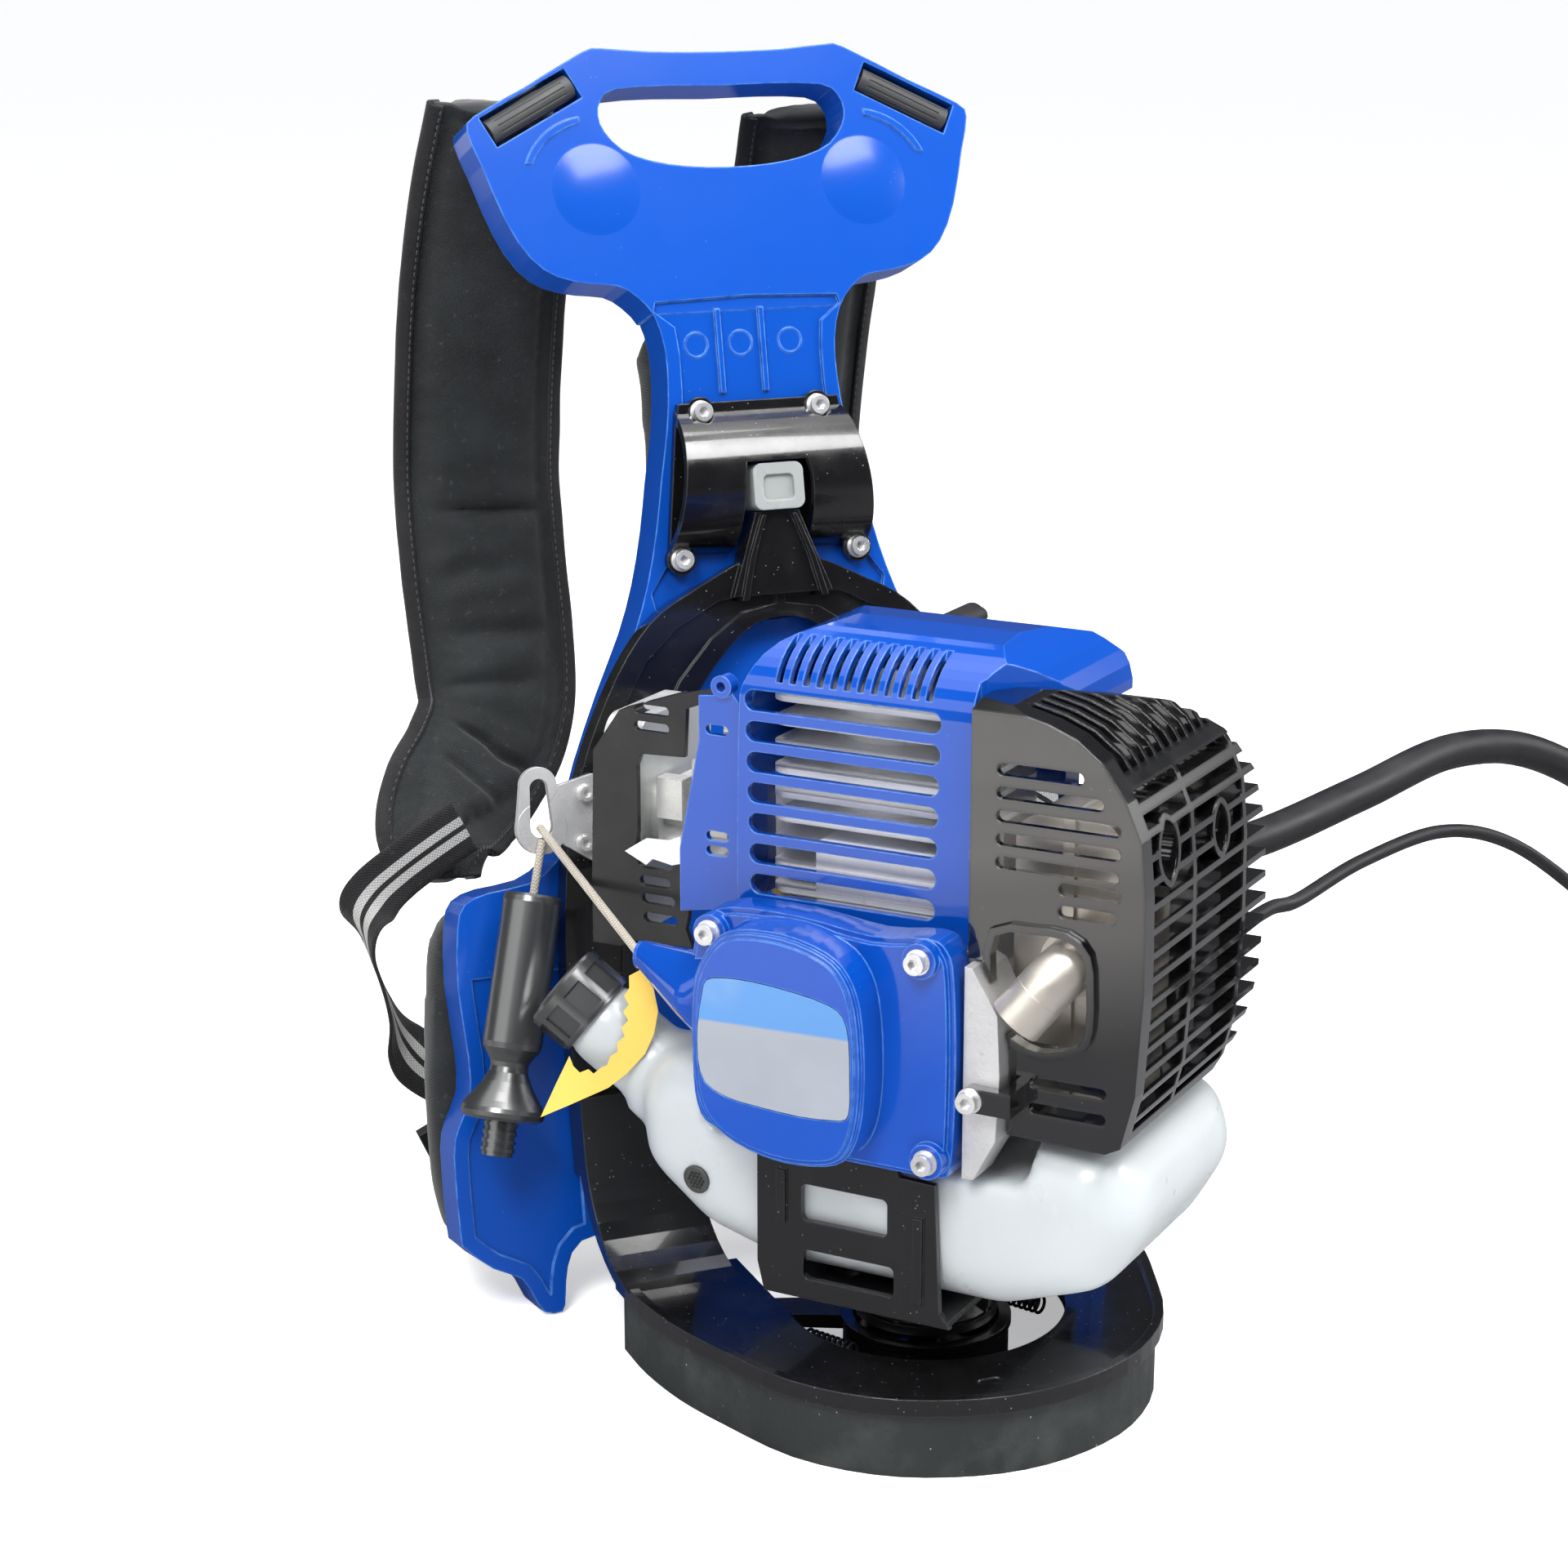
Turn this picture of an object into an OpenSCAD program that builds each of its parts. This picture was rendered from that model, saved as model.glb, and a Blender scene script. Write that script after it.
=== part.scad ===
// Backpack brush cutter power unit: engine on a swivelling pivot, carrier hoop with
// base ring, moulded back frame with harness, flexible drive shaft and throttle cable.
// Millimetres, +Z up. The origin is on the floor under the swivel axis. The wearer's
// side is +Y, the engine stands in front of the back frame towards -Y.

/* [Back frame] */
// Lean of the back frame from upright, in degrees
frame_lean = 12; // [11:0.5:13]
// Further lean of the frame's head
head_lean = 8; // [6:1:9]
// Distance from the swivel axis to the frame's front face at floor level
frame_y = 109; // [109:1:114]
// Depth of the frame's rim
frame_depth = 22; // [20:1:24]
// Thickness of the frame's moulded skin
frame_skin = 4; // [3:0.5:5]
// Diameter of the strap rollers
roller_d = 11; // [8:0.5:11]

/* [Carrier] */
// Outer radius of the base ring
ring_r = 97; // [95:1:99]
// Radius of the opening in the base ring
ring_hole_r = 57; // [55:1:58]
// Height of the base ring's upper face above the floor
ring_z = 32; // [31:1:33]
// Thickness of the ring and hoop moulding
hoop_t = 5; // [4:0.5:6]

/* [Engine] */
// Yaw of the engine about the swivel axis, in degrees
engine_yaw = -50; // [-52:1:-48]
// Height of the crankshaft axis
crank_z = 166; // [165:1:167]
// Bore of the cylinder
bore_d = 44; // [40:1:44]
// Number of open slots in the shroud's front
slot_count = 7; // [6:1:7]
// Diameter of the fuel cap
cap_d = 38; // [36:1:40]
// Radius of the starter pulley's rope groove
pulley_r = 29; // [28:1:30]

/* [Starter grip] */
// Diameter of the grip's body
grip_d = 25; // [23:1:26]
// Length of the grip's body
grip_len = 76; // [72:1:78]
// Diameter of the starter rope
rope_d = 3.5; // [3:0.5:4]

/* [Drive hose and cable] */
// Outer diameter of the drive hose
hose_d = 18; // [17:1:18]
// Outer diameter of the throttle cable sheath
cable_d = 7; // [6:0.5:7]

/* [Hidden] */
$fn = 48;

function mirrored(h) = concat(h, [for (i = [len(h) - 1:-1:0]) if (abs(h[i][0]) > 0.01) [-h[i][0], h[i][1]]]);
// closed Catmull-Rom curve through the points, n steps a span
function cr(a, b, c, d, t) = 0.5 * (2 * b + (c - a) * t + (2 * a - 5 * b + 4 * c - d) * t * t
    + (3 * b - a - 3 * c + d) * t * t * t);
function smooth(p, n = 3) = let (m = len(p)) [for (i = [0:m - 1]) for (k = [0:n - 1])
    cr(p[(i + m - 1) % m], p[i], p[(i + 1) % m], p[(i + 2) % m], k / n)];
// open Catmull-Rom curve
function path(p, n = 3) = let (m = len(p)) concat([for (i = [0:m - 2]) for (k = [0:n - 1])
    cr(p[max(i - 1, 0)], p[i], p[i + 1], p[min(i + 2, m - 1)], k / n)], [p[m - 1]]);
function unit(v) = v / norm(v);
// polygon moved inwards by d (points run the same way round, turn = 1 or -1)
function area2(p) = let (m = len(p)) [for (i = [0:m - 1]) p[i][0] * p[(i + 1) % m][1] - p[(i + 1) % m][0] * p[i][1]] * [for (i = [0:m - 1]) 1];
function inset(p, d) = let (m = len(p), s = area2(p) > 0 ? 1 : -1) [for (i = [0:m - 1])
    let (a = unit(p[i] - p[(i + m - 1) % m]), b = unit(p[(i + 1) % m] - p[i]),
        na = s * [-a[1], a[0]], nb = s * [-b[1], b[0]], q = unit(na + nb))
    p[i] + q * d / max(0.5, q * na)];
// tube swept along points, radius r, k sides
function frame_u(t) = abs(t[2]) > 0.9 ? unit(cross(t, [1, 0, 0])) : unit(cross(t, [0, 0, 1]));
function tang(p, i) = unit(p[min(i + 1, len(p) - 1)] - p[max(i - 1, 0)]);
function carry(u, t) = unit(u - t * (u * t));
function us(p, i = 0, acc = []) = i == len(p) ? acc
    : us(p, i + 1, concat(acc, [i == 0 ? frame_u(tang(p, 0)) : carry(acc[i - 1], tang(p, i))]));
module tube(p, r, k = 10) {
    m = len(p);
    u = us(p);
    pts = [for (i = [0:m - 1]) let (t = tang(p, i), v = cross(t, u[i]))
        for (j = [0:k - 1]) p[i] + r * (cos(360 * j / k) * u[i] + sin(360 * j / k) * v)];
    polyhedron(pts, concat([[for (j = [0:k - 1]) j]], [[for (j = [k - 1:-1:0]) (m - 1) * k + j]],
        [for (i = [0:m - 2]) for (j = [0:k - 1]) [i * k + j, (i + 1) * k + j, (i + 1) * k + (j + 1) % k, i * k + (j + 1) % k]]));
}
// flat band swept along points: half width w (one or one a point), half thickness h, width direction wx
module band(p, w, h, wx) {
    m = len(p);
    pts = [for (i = [0:m - 1]) let (t = tang(p, i), a = unit(wx[i] - t * (wx[i] * t)), b = cross(a, t))
        for (c = [[-1, -0.55], [-0.9, -1], [0.9, -1], [1, -0.55], [1, 0.55], [0.9, 1], [-0.9, 1], [-1, 0.55]])
            p[i] + a * (is_list(w) ? w[i] : w) * c[0] + b * h * c[1]];
    polyhedron(pts, concat([[for (j = [0:7]) j]], [[for (j = [7:-1:0]) (m - 1) * 8 + j]],
        [for (i = [0:m - 2]) for (j = [0:7]) [i * 8 + j, (i + 1) * 8 + j, (i + 1) * 8 + (j + 1) % 8]],
        [for (i = [0:m - 2]) for (j = [0:7]) [i * 8 + j, (i + 1) * 8 + (j + 1) % 8, i * 8 + (j + 1) % 8]]));
}

module on_frame() translate([0, frame_y, 0]) rotate([-frame_lean, 0, 0]) children();
// the head leans back a little further than the rest
module on_head() translate([0, 0, 425]) rotate([-head_lean, 0, 0]) translate([0, 0, -425]) children();
module on_engine() rotate([0, 0, engine_yaw]) children();
// extrude a drawing of x and z from y0 to y1
module xz(y0, y1) translate([0, y1, 0]) rotate([90, 0, 0]) linear_extrude(y1 - y0) children();
// extrude a drawing of y and z from x0 to x1
module yz(x0, x1) translate([x0, 0, 0]) rotate([90, 0, 90]) linear_extrude(x1 - x0) children();
module rbox(x0, x1, z0, z1, r) {
    translate([x0 + r, z0]) square([x1 - x0 - 2 * r, z1 - z0]);
    translate([x0, z0 + r]) square([x1 - x0, z1 - z0 - 2 * r]);
    for (x = [x0 + r, x1 - r]) for (z = [z0 + r, z1 - r]) translate([x, z]) circle(r);
}
module slot(x0, x1, z, h) {
    if (x1 - x0 > h + 0.01) {
        translate([x0 + h / 2, z - h / 2]) square([x1 - x0 - h, h]);
        translate([x0 + h / 2, z]) circle(h / 2, $fn = 24);
    }
    translate([x1 - h / 2, z]) circle(h / 2, $fn = 24);
}
// socket head cap screw with its head's seat at the origin, head towards +Z
module cap_screw(d, len) {
    difference() {
        union() {
            cylinder(d = d * 1.65, h = d * 0.9);
            cylinder(d = d * 2, h = 0.8);
        }
        translate([0, 0, d * 0.45]) cylinder(d = d * 0.9, h = d, $fn = 6);
    }
    translate([0, 0, -len]) cylinder(d = d, h = len + 0.1);
}

// ---------- back frame ----------
// outline of the right half: x, height along the frame
half = [[0, 537], [30, 537.6], [52, 539.5], [61, 538], [89, 523], [112, 511.5], [116, 505], [111.5, 490],
    [104, 466], [95, 449.5], [84, 441], [70, 437.5], [58, 436], [50, 431], [43, 422], [39.5, 408],
    [39.5, 392], [41.5, 374], [46, 352], [50, 331], [56, 308], [64, 287], [76, 263], [89, 234], [98, 210],
    [107, 194], [120, 186], [138, 184], [149, 180], [153, 170], [155, 145], [153, 115], [154, 98],
    [160, 86], [163, 74], [163, 40], [161, 34], [150, 24], [138, 18], [133, 9], [129, 2], [121, 1],
    [119, 8], [117, 20], [110, 30], [90, 32], [45, 32], [0, 32]];
outline = smooth(mirrored(half), 2);
hole_half = [[0, 486], [20, 487], [36, 490], [48, 495], [55, 503], [57, 510], [55, 517], [48, 521.5], [25, 522.5], [0, 522]];
handle_hole = smooth(mirrored(hole_half), 2);
roll_a = [68, 524];
roll_b = [108, 503.5];
roll_dir = unit(roll_b - roll_a);
roll_ang = atan2(roll_dir[1], roll_dir[0]);
roll_mid = (roll_a + roll_b) / 2 - 1.5 * roll_dir;
roll_len = 43;
roll_y = 4.5;

module roller_place(s) mirror([s > 0 ? 0 : 1, 0, 0]) translate([roll_mid[0], roll_y, roll_mid[1]])
    rotate([0, -roll_ang, 0]) children();

module plate() difference() {
    union() {
        xz(0, frame_depth) polygon(outline);
        // low domes either side of the hole, each with a crescent above it
        for (s = [-1, 1]) xz(-0.9, 1.5) intersection() {
            difference() {
                translate([s * 62, 477]) circle(33, $fn = 96);
                translate([s * 60.6, 475.2]) circle(32.2, $fn = 96);
            }
            translate([s > 0 ? 66 : -98, 490]) square([32, 30]);
        }
        for (s = [-1, 1]) intersection() {
            translate([s * 62, 98, 478]) sphere(100, $fn = 96);
            translate([-110, -3, 440]) cube([220, 5, 80]);
        }
    }
    // hollow behind the skin
    difference() {
        xz(frame_skin, frame_depth + 1) polygon(inset(outline, frame_skin));
        // ribs inside
        xz(frame_skin - 1, frame_depth - 4) for (x = [-33, -11, 11, 33]) translate([x - 1.5, 40]) square([3, 390]);
        xz(frame_skin - 1, frame_depth - 4) for (z = [60, 120, 180, 240, 300, 360, 425]) translate([-160, z - 3]) square([320, 6]);
        // rim of the handle hole
        xz(frame_skin - 1, frame_depth - 1.4) polygon(inset(handle_hole, -4));
        // boxes round the roller pockets
        for (s = [-1, 1]) roller_place(s) translate([-28, -3, -11]) cube([56, frame_depth - roll_y + 0.6, 22]);
    }
    xz(-3, frame_depth + 1) polygon(handle_hole);
    // everything behind the rim
    xz(frame_depth, 420) translate([-220, -40]) square([440, 640]);
    // recessed neck between two rims
    xz(-1, 1.8) polygon(smooth([[-42, 428], [42, 428], [34, 417], [33, 390], [36, 355], [43, 320], [52, 292], [-52, 292], [-43, 320], [-36, 355], [-33, 390], [-34, 417]], 2));
    // shallow panels in the lower wings
    xz(-1, 1.3) intersection() {
        polygon(inset(outline, 6.5));
        union() {
            translate([-170, 9]) square([62.3, 139]);
            translate([107.7, 9]) square([62.3, 139]);
        }
    }
    // roller pockets: a trough and two through slots
    for (s = [-1, 1]) roller_place(s) {
        translate([-roll_len / 2 - 1.2, -20, -7.2]) cube([roll_len + 2.4, 20 + roll_y + 3, 14.4]);
        for (z = [-6.6, 4]) translate([-16, -20, z]) cube([32, 60, 2.6]);
        rotate([0, 90, 0]) translate([0, 0, -24.2]) cylinder(d = 3.1, h = 48.4, $fn = 32);
    }
    // bolt holes of the saddle
    for (p = clamp_pts) translate([p[0], -5, p[1]]) rotate([-90, 0, 0]) cylinder(d = 5.2, h = 12, $fn = 32);
}
module back_frame() color("blue") intersection() {
    on_frame() union() {
        intersection() {
            plate();
            translate([-200, -20, -30]) cube([400, 60, 454.5]);
        }
        on_head() intersection() {
            plate();
            translate([-200, -20, 423.2]) cube([400, 60, 200]);
        }
        // ribs on the recessed neck
        for (x = [-14, 6]) xz(0.2, 2.2) translate([x - 1.2, 388]) square([2.4, 36]);
        // marks of the ejector pins
        for (x = [-24.5, -4, 19]) xz(1.5, 2.2) translate([x, 409]) difference() {
            circle(5.6, $fn = 48);
            circle(4.9, $fn = 48);
        }
    }
    translate([-300, -100, 0]) cube([600, 500, 700]);
}
module roller(s) color([0.08, 0.08, 0.08]) on_frame() on_head() roller_place(s) rotate([0, 90, 0]) {
    difference() {
        translate([0, 0, -roll_len / 2]) cylinder(d = roller_d, h = roll_len, $fn = 32);
        for (a = [0:30:359]) rotate([0, 0, a]) translate([roller_d / 2, 0, -roll_len / 2 + 4]) cylinder(d = 0.9, h = roll_len - 8, $fn = 8);
    }
    translate([0, 0, -23.8]) cylinder(d = 3, h = 47.6, $fn = 32);
}
module roller_left() roller(-1);
module roller_right() roller(1);

// ---------- saddle ----------
clamp_pts = [[-27, 380], [27, 380], [-41, 317.5], [41, 317.5]];
saddle_z = 350;
saddle_r = 33;
module saddle_clamp() color([0.02, 0.02, 0.02]) on_frame() difference() {
    union() {
        // half cylinder across the neck
        intersection() {
            translate([-50, 11, saddle_z]) rotate([0, 90, 0]) cylinder(r = saddle_r, h = 100, $fn = 96);
            xz(-60, -0.3) polygon([[-37, 390], [37, 390], [46, 322], [46, 310], [-46, 310], [-46, 322]]);
        }
        // ears under the screws
        for (p = clamp_pts) translate([p[0], -4, p[1]]) rotate([-90, 0, 0]) cylinder(d = 13, h = 3.7);
        xz(-4, -0.3) polygon([[-37, 384], [37, 384], [46, 322], [-46, 322]]);
    }
    // hollow
    intersection() {
        translate([-60, 11, saddle_z]) rotate([0, 90, 0]) cylinder(r = saddle_r - 3.5, h = 120, $fn = 96);
        translate([-60, -60, 310]) cube([120, 56, 80]);
    }
    // window open at the bottom
    xz(-60, 10) polygon([[-14, 357], [14, 357], [15.5, 350], [17.5, 300], [-17.5, 300], [-15.5, 350]]);
    for (p = clamp_pts) translate([p[0], -60, p[1]]) rotate([-90, 0, 0]) {
        cylinder(d = 5.2, h = 80, $fn = 32);
        cylinder(d = 10.6, h = 55.95, $fn = 48);
    }
}
module saddle_block() color([0.85, 0.87, 0.87]) on_frame() {
    difference() {
        xz(-20.5, -1) rbox(-11.5, 11.5, 336, 356, 4);
        xz(-30, -19) rbox(-7, 7, 340, 351, 2.5);
    }
}
module clamp_screws() color("silver") on_frame() for (p = clamp_pts) translate([p[0], -4.1, p[1]]) rotate([90, 0, 0]) cap_screw(5, 9);

// ---------- carrier ----------
hoop_half = [[0, 317], [16, 315], [29, 309.5], [42, 303], [55, 296], [66, 286], [77, 271], [88, 251], [97, 230],
    [104, 205], [108.5, 175], [110.5, 145]];
hoop_hole_half = [[0, 290], [12, 288], [26, 278], [40, 262], [54, 240], [66, 212], [74, 180], [79, 145]];
// plan of the base: front edge from left to right, then straight sides
ring_front = [[-111, 62], [-110.5, 40], [-106, 12], [-97, -16], [-82, -52], [-58, -78], [-30, -92], [0, -97],
    [30, -92], [58, -78], [82, -52], [97, -16], [106, 12], [110.5, 40], [111, 62]];
function scale_ring(p) = [for (q = p) q[1] < 5 ? q * ring_r / 97 : q];
ring_poly = concat(path(scale_ring(ring_front), 3), [[111, 130], [-111, 130]]);
hoop_side = path(concat([[-111, 120]], [for (i = [len(hoop_half) - 1:-1:1]) [-hoop_half[i][0], hoop_half[i][1]]], hoop_half, [[111, 120]]), 2);
hoop_poly = concat([[-111, 60]], hoop_side, [[111, 60]]);
hoop_in = path(concat([[-80, 110]], [for (i = [len(hoop_hole_half) - 1:-1:1]) [-hoop_hole_half[i][0], hoop_hole_half[i][1]]], hoop_hole_half, [[80, 110]]), 2);
hoop_in_poly = concat([[-80, 40]], hoop_in, [[80, 40]]);
hoop_front = -12; // front of the hoop in the frame's own depth direction
module carrier_hoop() color([0.02, 0.02, 0.02]) difference() {
    union() {
        // upright arch, a channel with two rims
        on_frame() difference() {
            xz(hoop_front, -1) polygon(hoop_poly);
            xz(hoop_front - 1, hoop_front + 20) polygon(hoop_in_poly);
            // channel between the rims
            for (m = [0, 1]) mirror([m, 0, 0]) xz(hoop_front - 1, hoop_front + 1.8) polygon(path(concat(
                [[2, 302], [28, 299], [48, 289], [64, 275], [78, 252], [88, 229], [95, 203], [99, 175], [101, 140], [102, 80]],
                [[88, 80], [86, 140], [82, 176], [74, 212], [63, 243], [49, 266], [33, 283], [18, 293], [2, 296]]), 1));
            // room for the saddle's lower edge
            xz(-4.6, 3) translate([-60, 306]) square([120, 30]);
        }
        // neck up into the saddle
        on_frame() xz(hoop_front - 4, -4.6) polygon([[-23, 300], [-17, 316], [-10, 335.5], [10, 335.5], [17, 316], [23, 300]]);
        on_frame() for (s = [-1, 1]) xz(hoop_front - 6.5, hoop_front - 3.9) polygon([[s * 20, 298], [s * 15, 316], [s * 8, 334], [s * 6, 334], [s * 12.5, 316], [s * 17, 298]]);
        // bend from the arch to the base
        for (x = [-111, 62]) yz(x, x + 49) polygon(bend_profile);
        // base ring
        translate([0, 0, ring_z - hoop_t]) linear_extrude(hoop_t) difference() {
            intersection() {
                polygon(ring_poly);
                translate([-130, -110]) square([260, 178]);
            }
            circle(ring_hole_r, $fn = 96);
            translate([-ring_hole_r, 0]) square([2 * ring_hole_r, 90]);
        }
        // raised lip round the ring
        translate([0, 0, ring_z - 0.1]) linear_extrude(2.2) difference() {
            intersection() {
                polygon(ring_poly);
                translate([-130, -110]) square([260, 160]);
            }
            polygon(inset(ring_poly, 4));
        }
    }
    // embossed oval
    translate([-8, -78, ring_z - 0.5]) scale(1) linear_extrude(2) slot(-5, 5, 0, 5);
}
// side profile of the bend: y, z
bend_profile = concat([for (a = [0:9:81]) [51 + 56 * sin(a), ring_z + 52 - 52 * cos(a)]],
    [[111, 96], [124, 96]], [for (a = [81:-9:0]) [51 + 68 * sin(a), ring_z - hoop_t + 60 - 60 * cos(a)]]);

module base_skirt() color([0.07, 0.07, 0.07]) difference() {
    linear_extrude(ring_z - hoop_t - 0.05) difference() {
        intersection() {
            polygon(inset(ring_poly, 3));
            translate([-130, -110]) square([260, 176]);
        }
        intersection() {
            polygon(inset(ring_poly, 9));
            translate([-130, -110]) square([260, 170]);
        }
        translate([-94, -10]) square([188, 90]);
    }
}
module pivot_cup() color([0.02, 0.02, 0.02]) difference() {
    union() {
        cylinder(r = 14, h = 10);
        translate([0, 0, 8]) cylinder(r = 34, h = 18, $fn = 96);
        translate([0, 0, 24]) cylinder(r = 35, h = 3, $fn = 96);
    }
    translate([0, 0, 14]) cylinder(r = 30, h = 20, $fn = 96);
    translate([0, 0, 3]) cylinder(r = 7.05, h = 30);
    for (a = [-35, 145]) rotate([0, 0, a]) translate([20, 0, 17]) rotate([0, 90, 0]) cylinder(d = 4.2, h = 20);
}
module pivot_arm() color([0.03, 0.03, 0.03]) difference() {
    union() {
        // arms from the cup back to the hoop
        for (s = [-1, 1]) translate([0, 0, 9]) linear_extrude(6) polygon([[s * 8, 34.6], [s * 22, 32], [s * 80, 60], [s * 80, 72], [s * 16, 50], [s * 8, 50]]);
        translate([0, 0, 9]) linear_extrude(6) translate([-16, 35.2]) square([32, 14.8]);
        for (s = [-1, 1]) translate([s * 76 - 7, 60, 9]) cube([14, 12, ring_z - hoop_t - 9.05]);
    }
    translate([0, 0, 0]) cylinder(r = 35.2, h = 40, $fn = 96);
}
module coil(r, d, turns, h) {
    for (i = [0:turns - 1]) translate([0, 0, d / 2 + i * (h - d) / (turns - 1)]) rotate_extrude($fn = 32) translate([r, 0]) circle(d / 2, $fn = 16);
    for (a = [0, 120, 240]) rotate([0, 0, a]) translate([r, 0, d / 2]) cylinder(d = d * 0.5, h = h - d, $fn = 8);
}
module damper_springs() color([0.1, 0.1, 0.1]) for (a = [0, 180]) rotate([0, 0, a])
    translate([-51, 3.5, 22.4]) rotate([0, 0, -60]) rotate([0, 90, 0]) coil(3.6, 1.4, 9, 23);

// ---------- rope guide ----------
guide_x = -117;
guide_z = 219;
guide_pts = [[-97, 223], [-99, 202]];
module rope_guide() color("silver") on_frame() difference() {
    union() {
        xz(hoop_front - 4, hoop_front - 0.1) {
            translate([guide_x, guide_z - 9]) circle(11, $fn = 48);
            translate([guide_x, guide_z + 9]) circle(8, $fn = 48);
            polygon([[guide_x - 8, guide_z + 9], [guide_x + 8, guide_z + 9], [guide_x + 11, guide_z - 9], [guide_x - 11, guide_z - 9]]);
            polygon([[guide_x + 6, guide_z + 8], [-93, 231], [-88, 224], [-89, 198], [-94, 193], [guide_x + 8, guide_z - 16]]);
        }
    }
    for (p = guide_pts) translate([p[0], -30, p[1]]) rotate([-90, 0, 0]) cylinder(d = 4.1, h = 40, $fn = 32);
    xz(hoop_front - 12, hoop_front + 2) {
        translate([guide_x, guide_z - 8]) circle(5, $fn = 32);
        translate([guide_x, guide_z + 8]) circle(4, $fn = 32);
        polygon([[guide_x - 4, guide_z + 8], [guide_x + 4, guide_z + 8], [guide_x + 5, guide_z - 8], [guide_x - 5, guide_z - 8]]);
    }
}
module guide_screws() color("silver") on_frame() for (p = guide_pts) translate([p[0], hoop_front - 4.1, p[1]]) rotate([90, 0, 0]) cap_screw(4, 3.9);

// ---------- harness ----------
module back_pad() color([0.03, 0.03, 0.03]) intersection() {
    on_frame() {
        xz(frame_depth + 0.4, frame_depth + 26) polygon(smooth([[-158, 150], [-150, 172], [-120, 182], [-80, 176], [0, 150], [80, 176], [120, 182], [150, 172], [158, 150], [164, 100], [163, 50], [150, 30], [80, 42], [0, 46], [-80, 42], [-150, 30], [-163, 50], [-164, 100]], 3));
        xz(frame_depth + 0.4, frame_depth + 22) rbox(-40, 40, 300, 420, 12);
    }
    translate([-300, -100, 3]) cube([600, 600, 700]);
}
strap_pts = [[-84, 262, 497], [-88, 276, 462], [-91, 288, 420], [-93, 294, 375], [-95, 293, 330], [-95, 285, 288], [-94, 276, 248], [-98, 266, 224], [-111, 254, 207], [-127, 240, 194], [-138, 227, 182], [-140, 217, 167]];
strap_w = [[1, 0, 0], [1, 0, 0], [1, 0, 0], [1, 0, 0], [1, 0, 0], [1, 0, 0], [1, 0, -0.05], [0.95, -0.05, -0.2], [0.88, -0.05, -0.35], [0.88, -0.05, -0.35], [0.95, -0.05, -0.2], [1, -0.05, -0.1]];
strap_half = [39, 39, 39, 39, 39, 39, 38.5, 36.5, 35, 33, 28, 19];
function widths(p) = [for (q = path([for (x = p) [x, 0, 0]], 2)) q[0]];
module strap_left() color([0.03, 0.03, 0.03]) band(path(strap_pts, 2), widths(strap_half), 6.5, path(strap_w, 2));
strap_r_pts = [[62, 262, 492], [63, 276, 462], [62, 288, 420], [60, 294, 375], [56, 293, 330], [57, 285, 288], [62, 276, 248], [72, 266, 224], [90, 254, 207], [108, 240, 194], [122, 227, 182], [128, 217, 167]];
strap_r_w = [[1, 0, 0], [1, 0, 0], [1, 0, 0], [1, 0.1, 0], [1, 0.1, 0], [1, 0, 0], [1, 0, 0.05], [0.95, -0.05, 0.2], [0.88, -0.05, 0.35], [0.88, -0.05, 0.35], [0.95, -0.05, 0.2], [1, -0.05, 0.1]];
module strap_right() color([0.03, 0.03, 0.03]) band(path(strap_r_pts, 2), widths(strap_half), 6.5, path(strap_r_w, 2));
web_l = [[-130, 209, 192], [-146, 207, 184], [-161, 206, 175], [-172, 206, 166], [-178, 205, 156], [-176, 205, 143], [-172, 204, 129], [-168, 203, 115], [-163, 202, 99], [-153, 200, 86], [-138, 196, 76], [-121, 189, 66]];
web_l_w = [[-0.5, 0, 0.85], [-0.5, 0, 0.85], [-0.5, 0, 0.85], [-0.5, 0.2, 0.83], [-0.4, 0.75, 0.5], [0, 0.95, 0.3], [0.1, 0.98, 0.15], [0.15, 0.93, 0.3], [0.3, 0.6, 0.7], [0.42, 0.1, 0.9], [0.42, 0.05, 0.9], [0.42, 0.05, 0.9]];
module webbing_left() color([0.05, 0.05, 0.05]) band(path(web_l, 2), 12.5, 1, path(web_l_w, 2));
module webbing_right() color([0.05, 0.05, 0.05]) mirror([1, 0, 0]) translate([8, 0, 0]) band(path(web_l, 2), 12.5, 1, path(web_l_w, 2));
module strap_buckles() color([0.04, 0.04, 0.04]) for (s = [-1, 1]) translate([s > 0 ? 128 : -136, 200, 54.3]) rotate([12, s * 25, 0]) difference() {
    cube([40, 5, 22], center = true);
    for (z = [-5.5, 5.5]) translate([0, 0, z]) cube([32, 8, 5], center = true);
}

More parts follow.
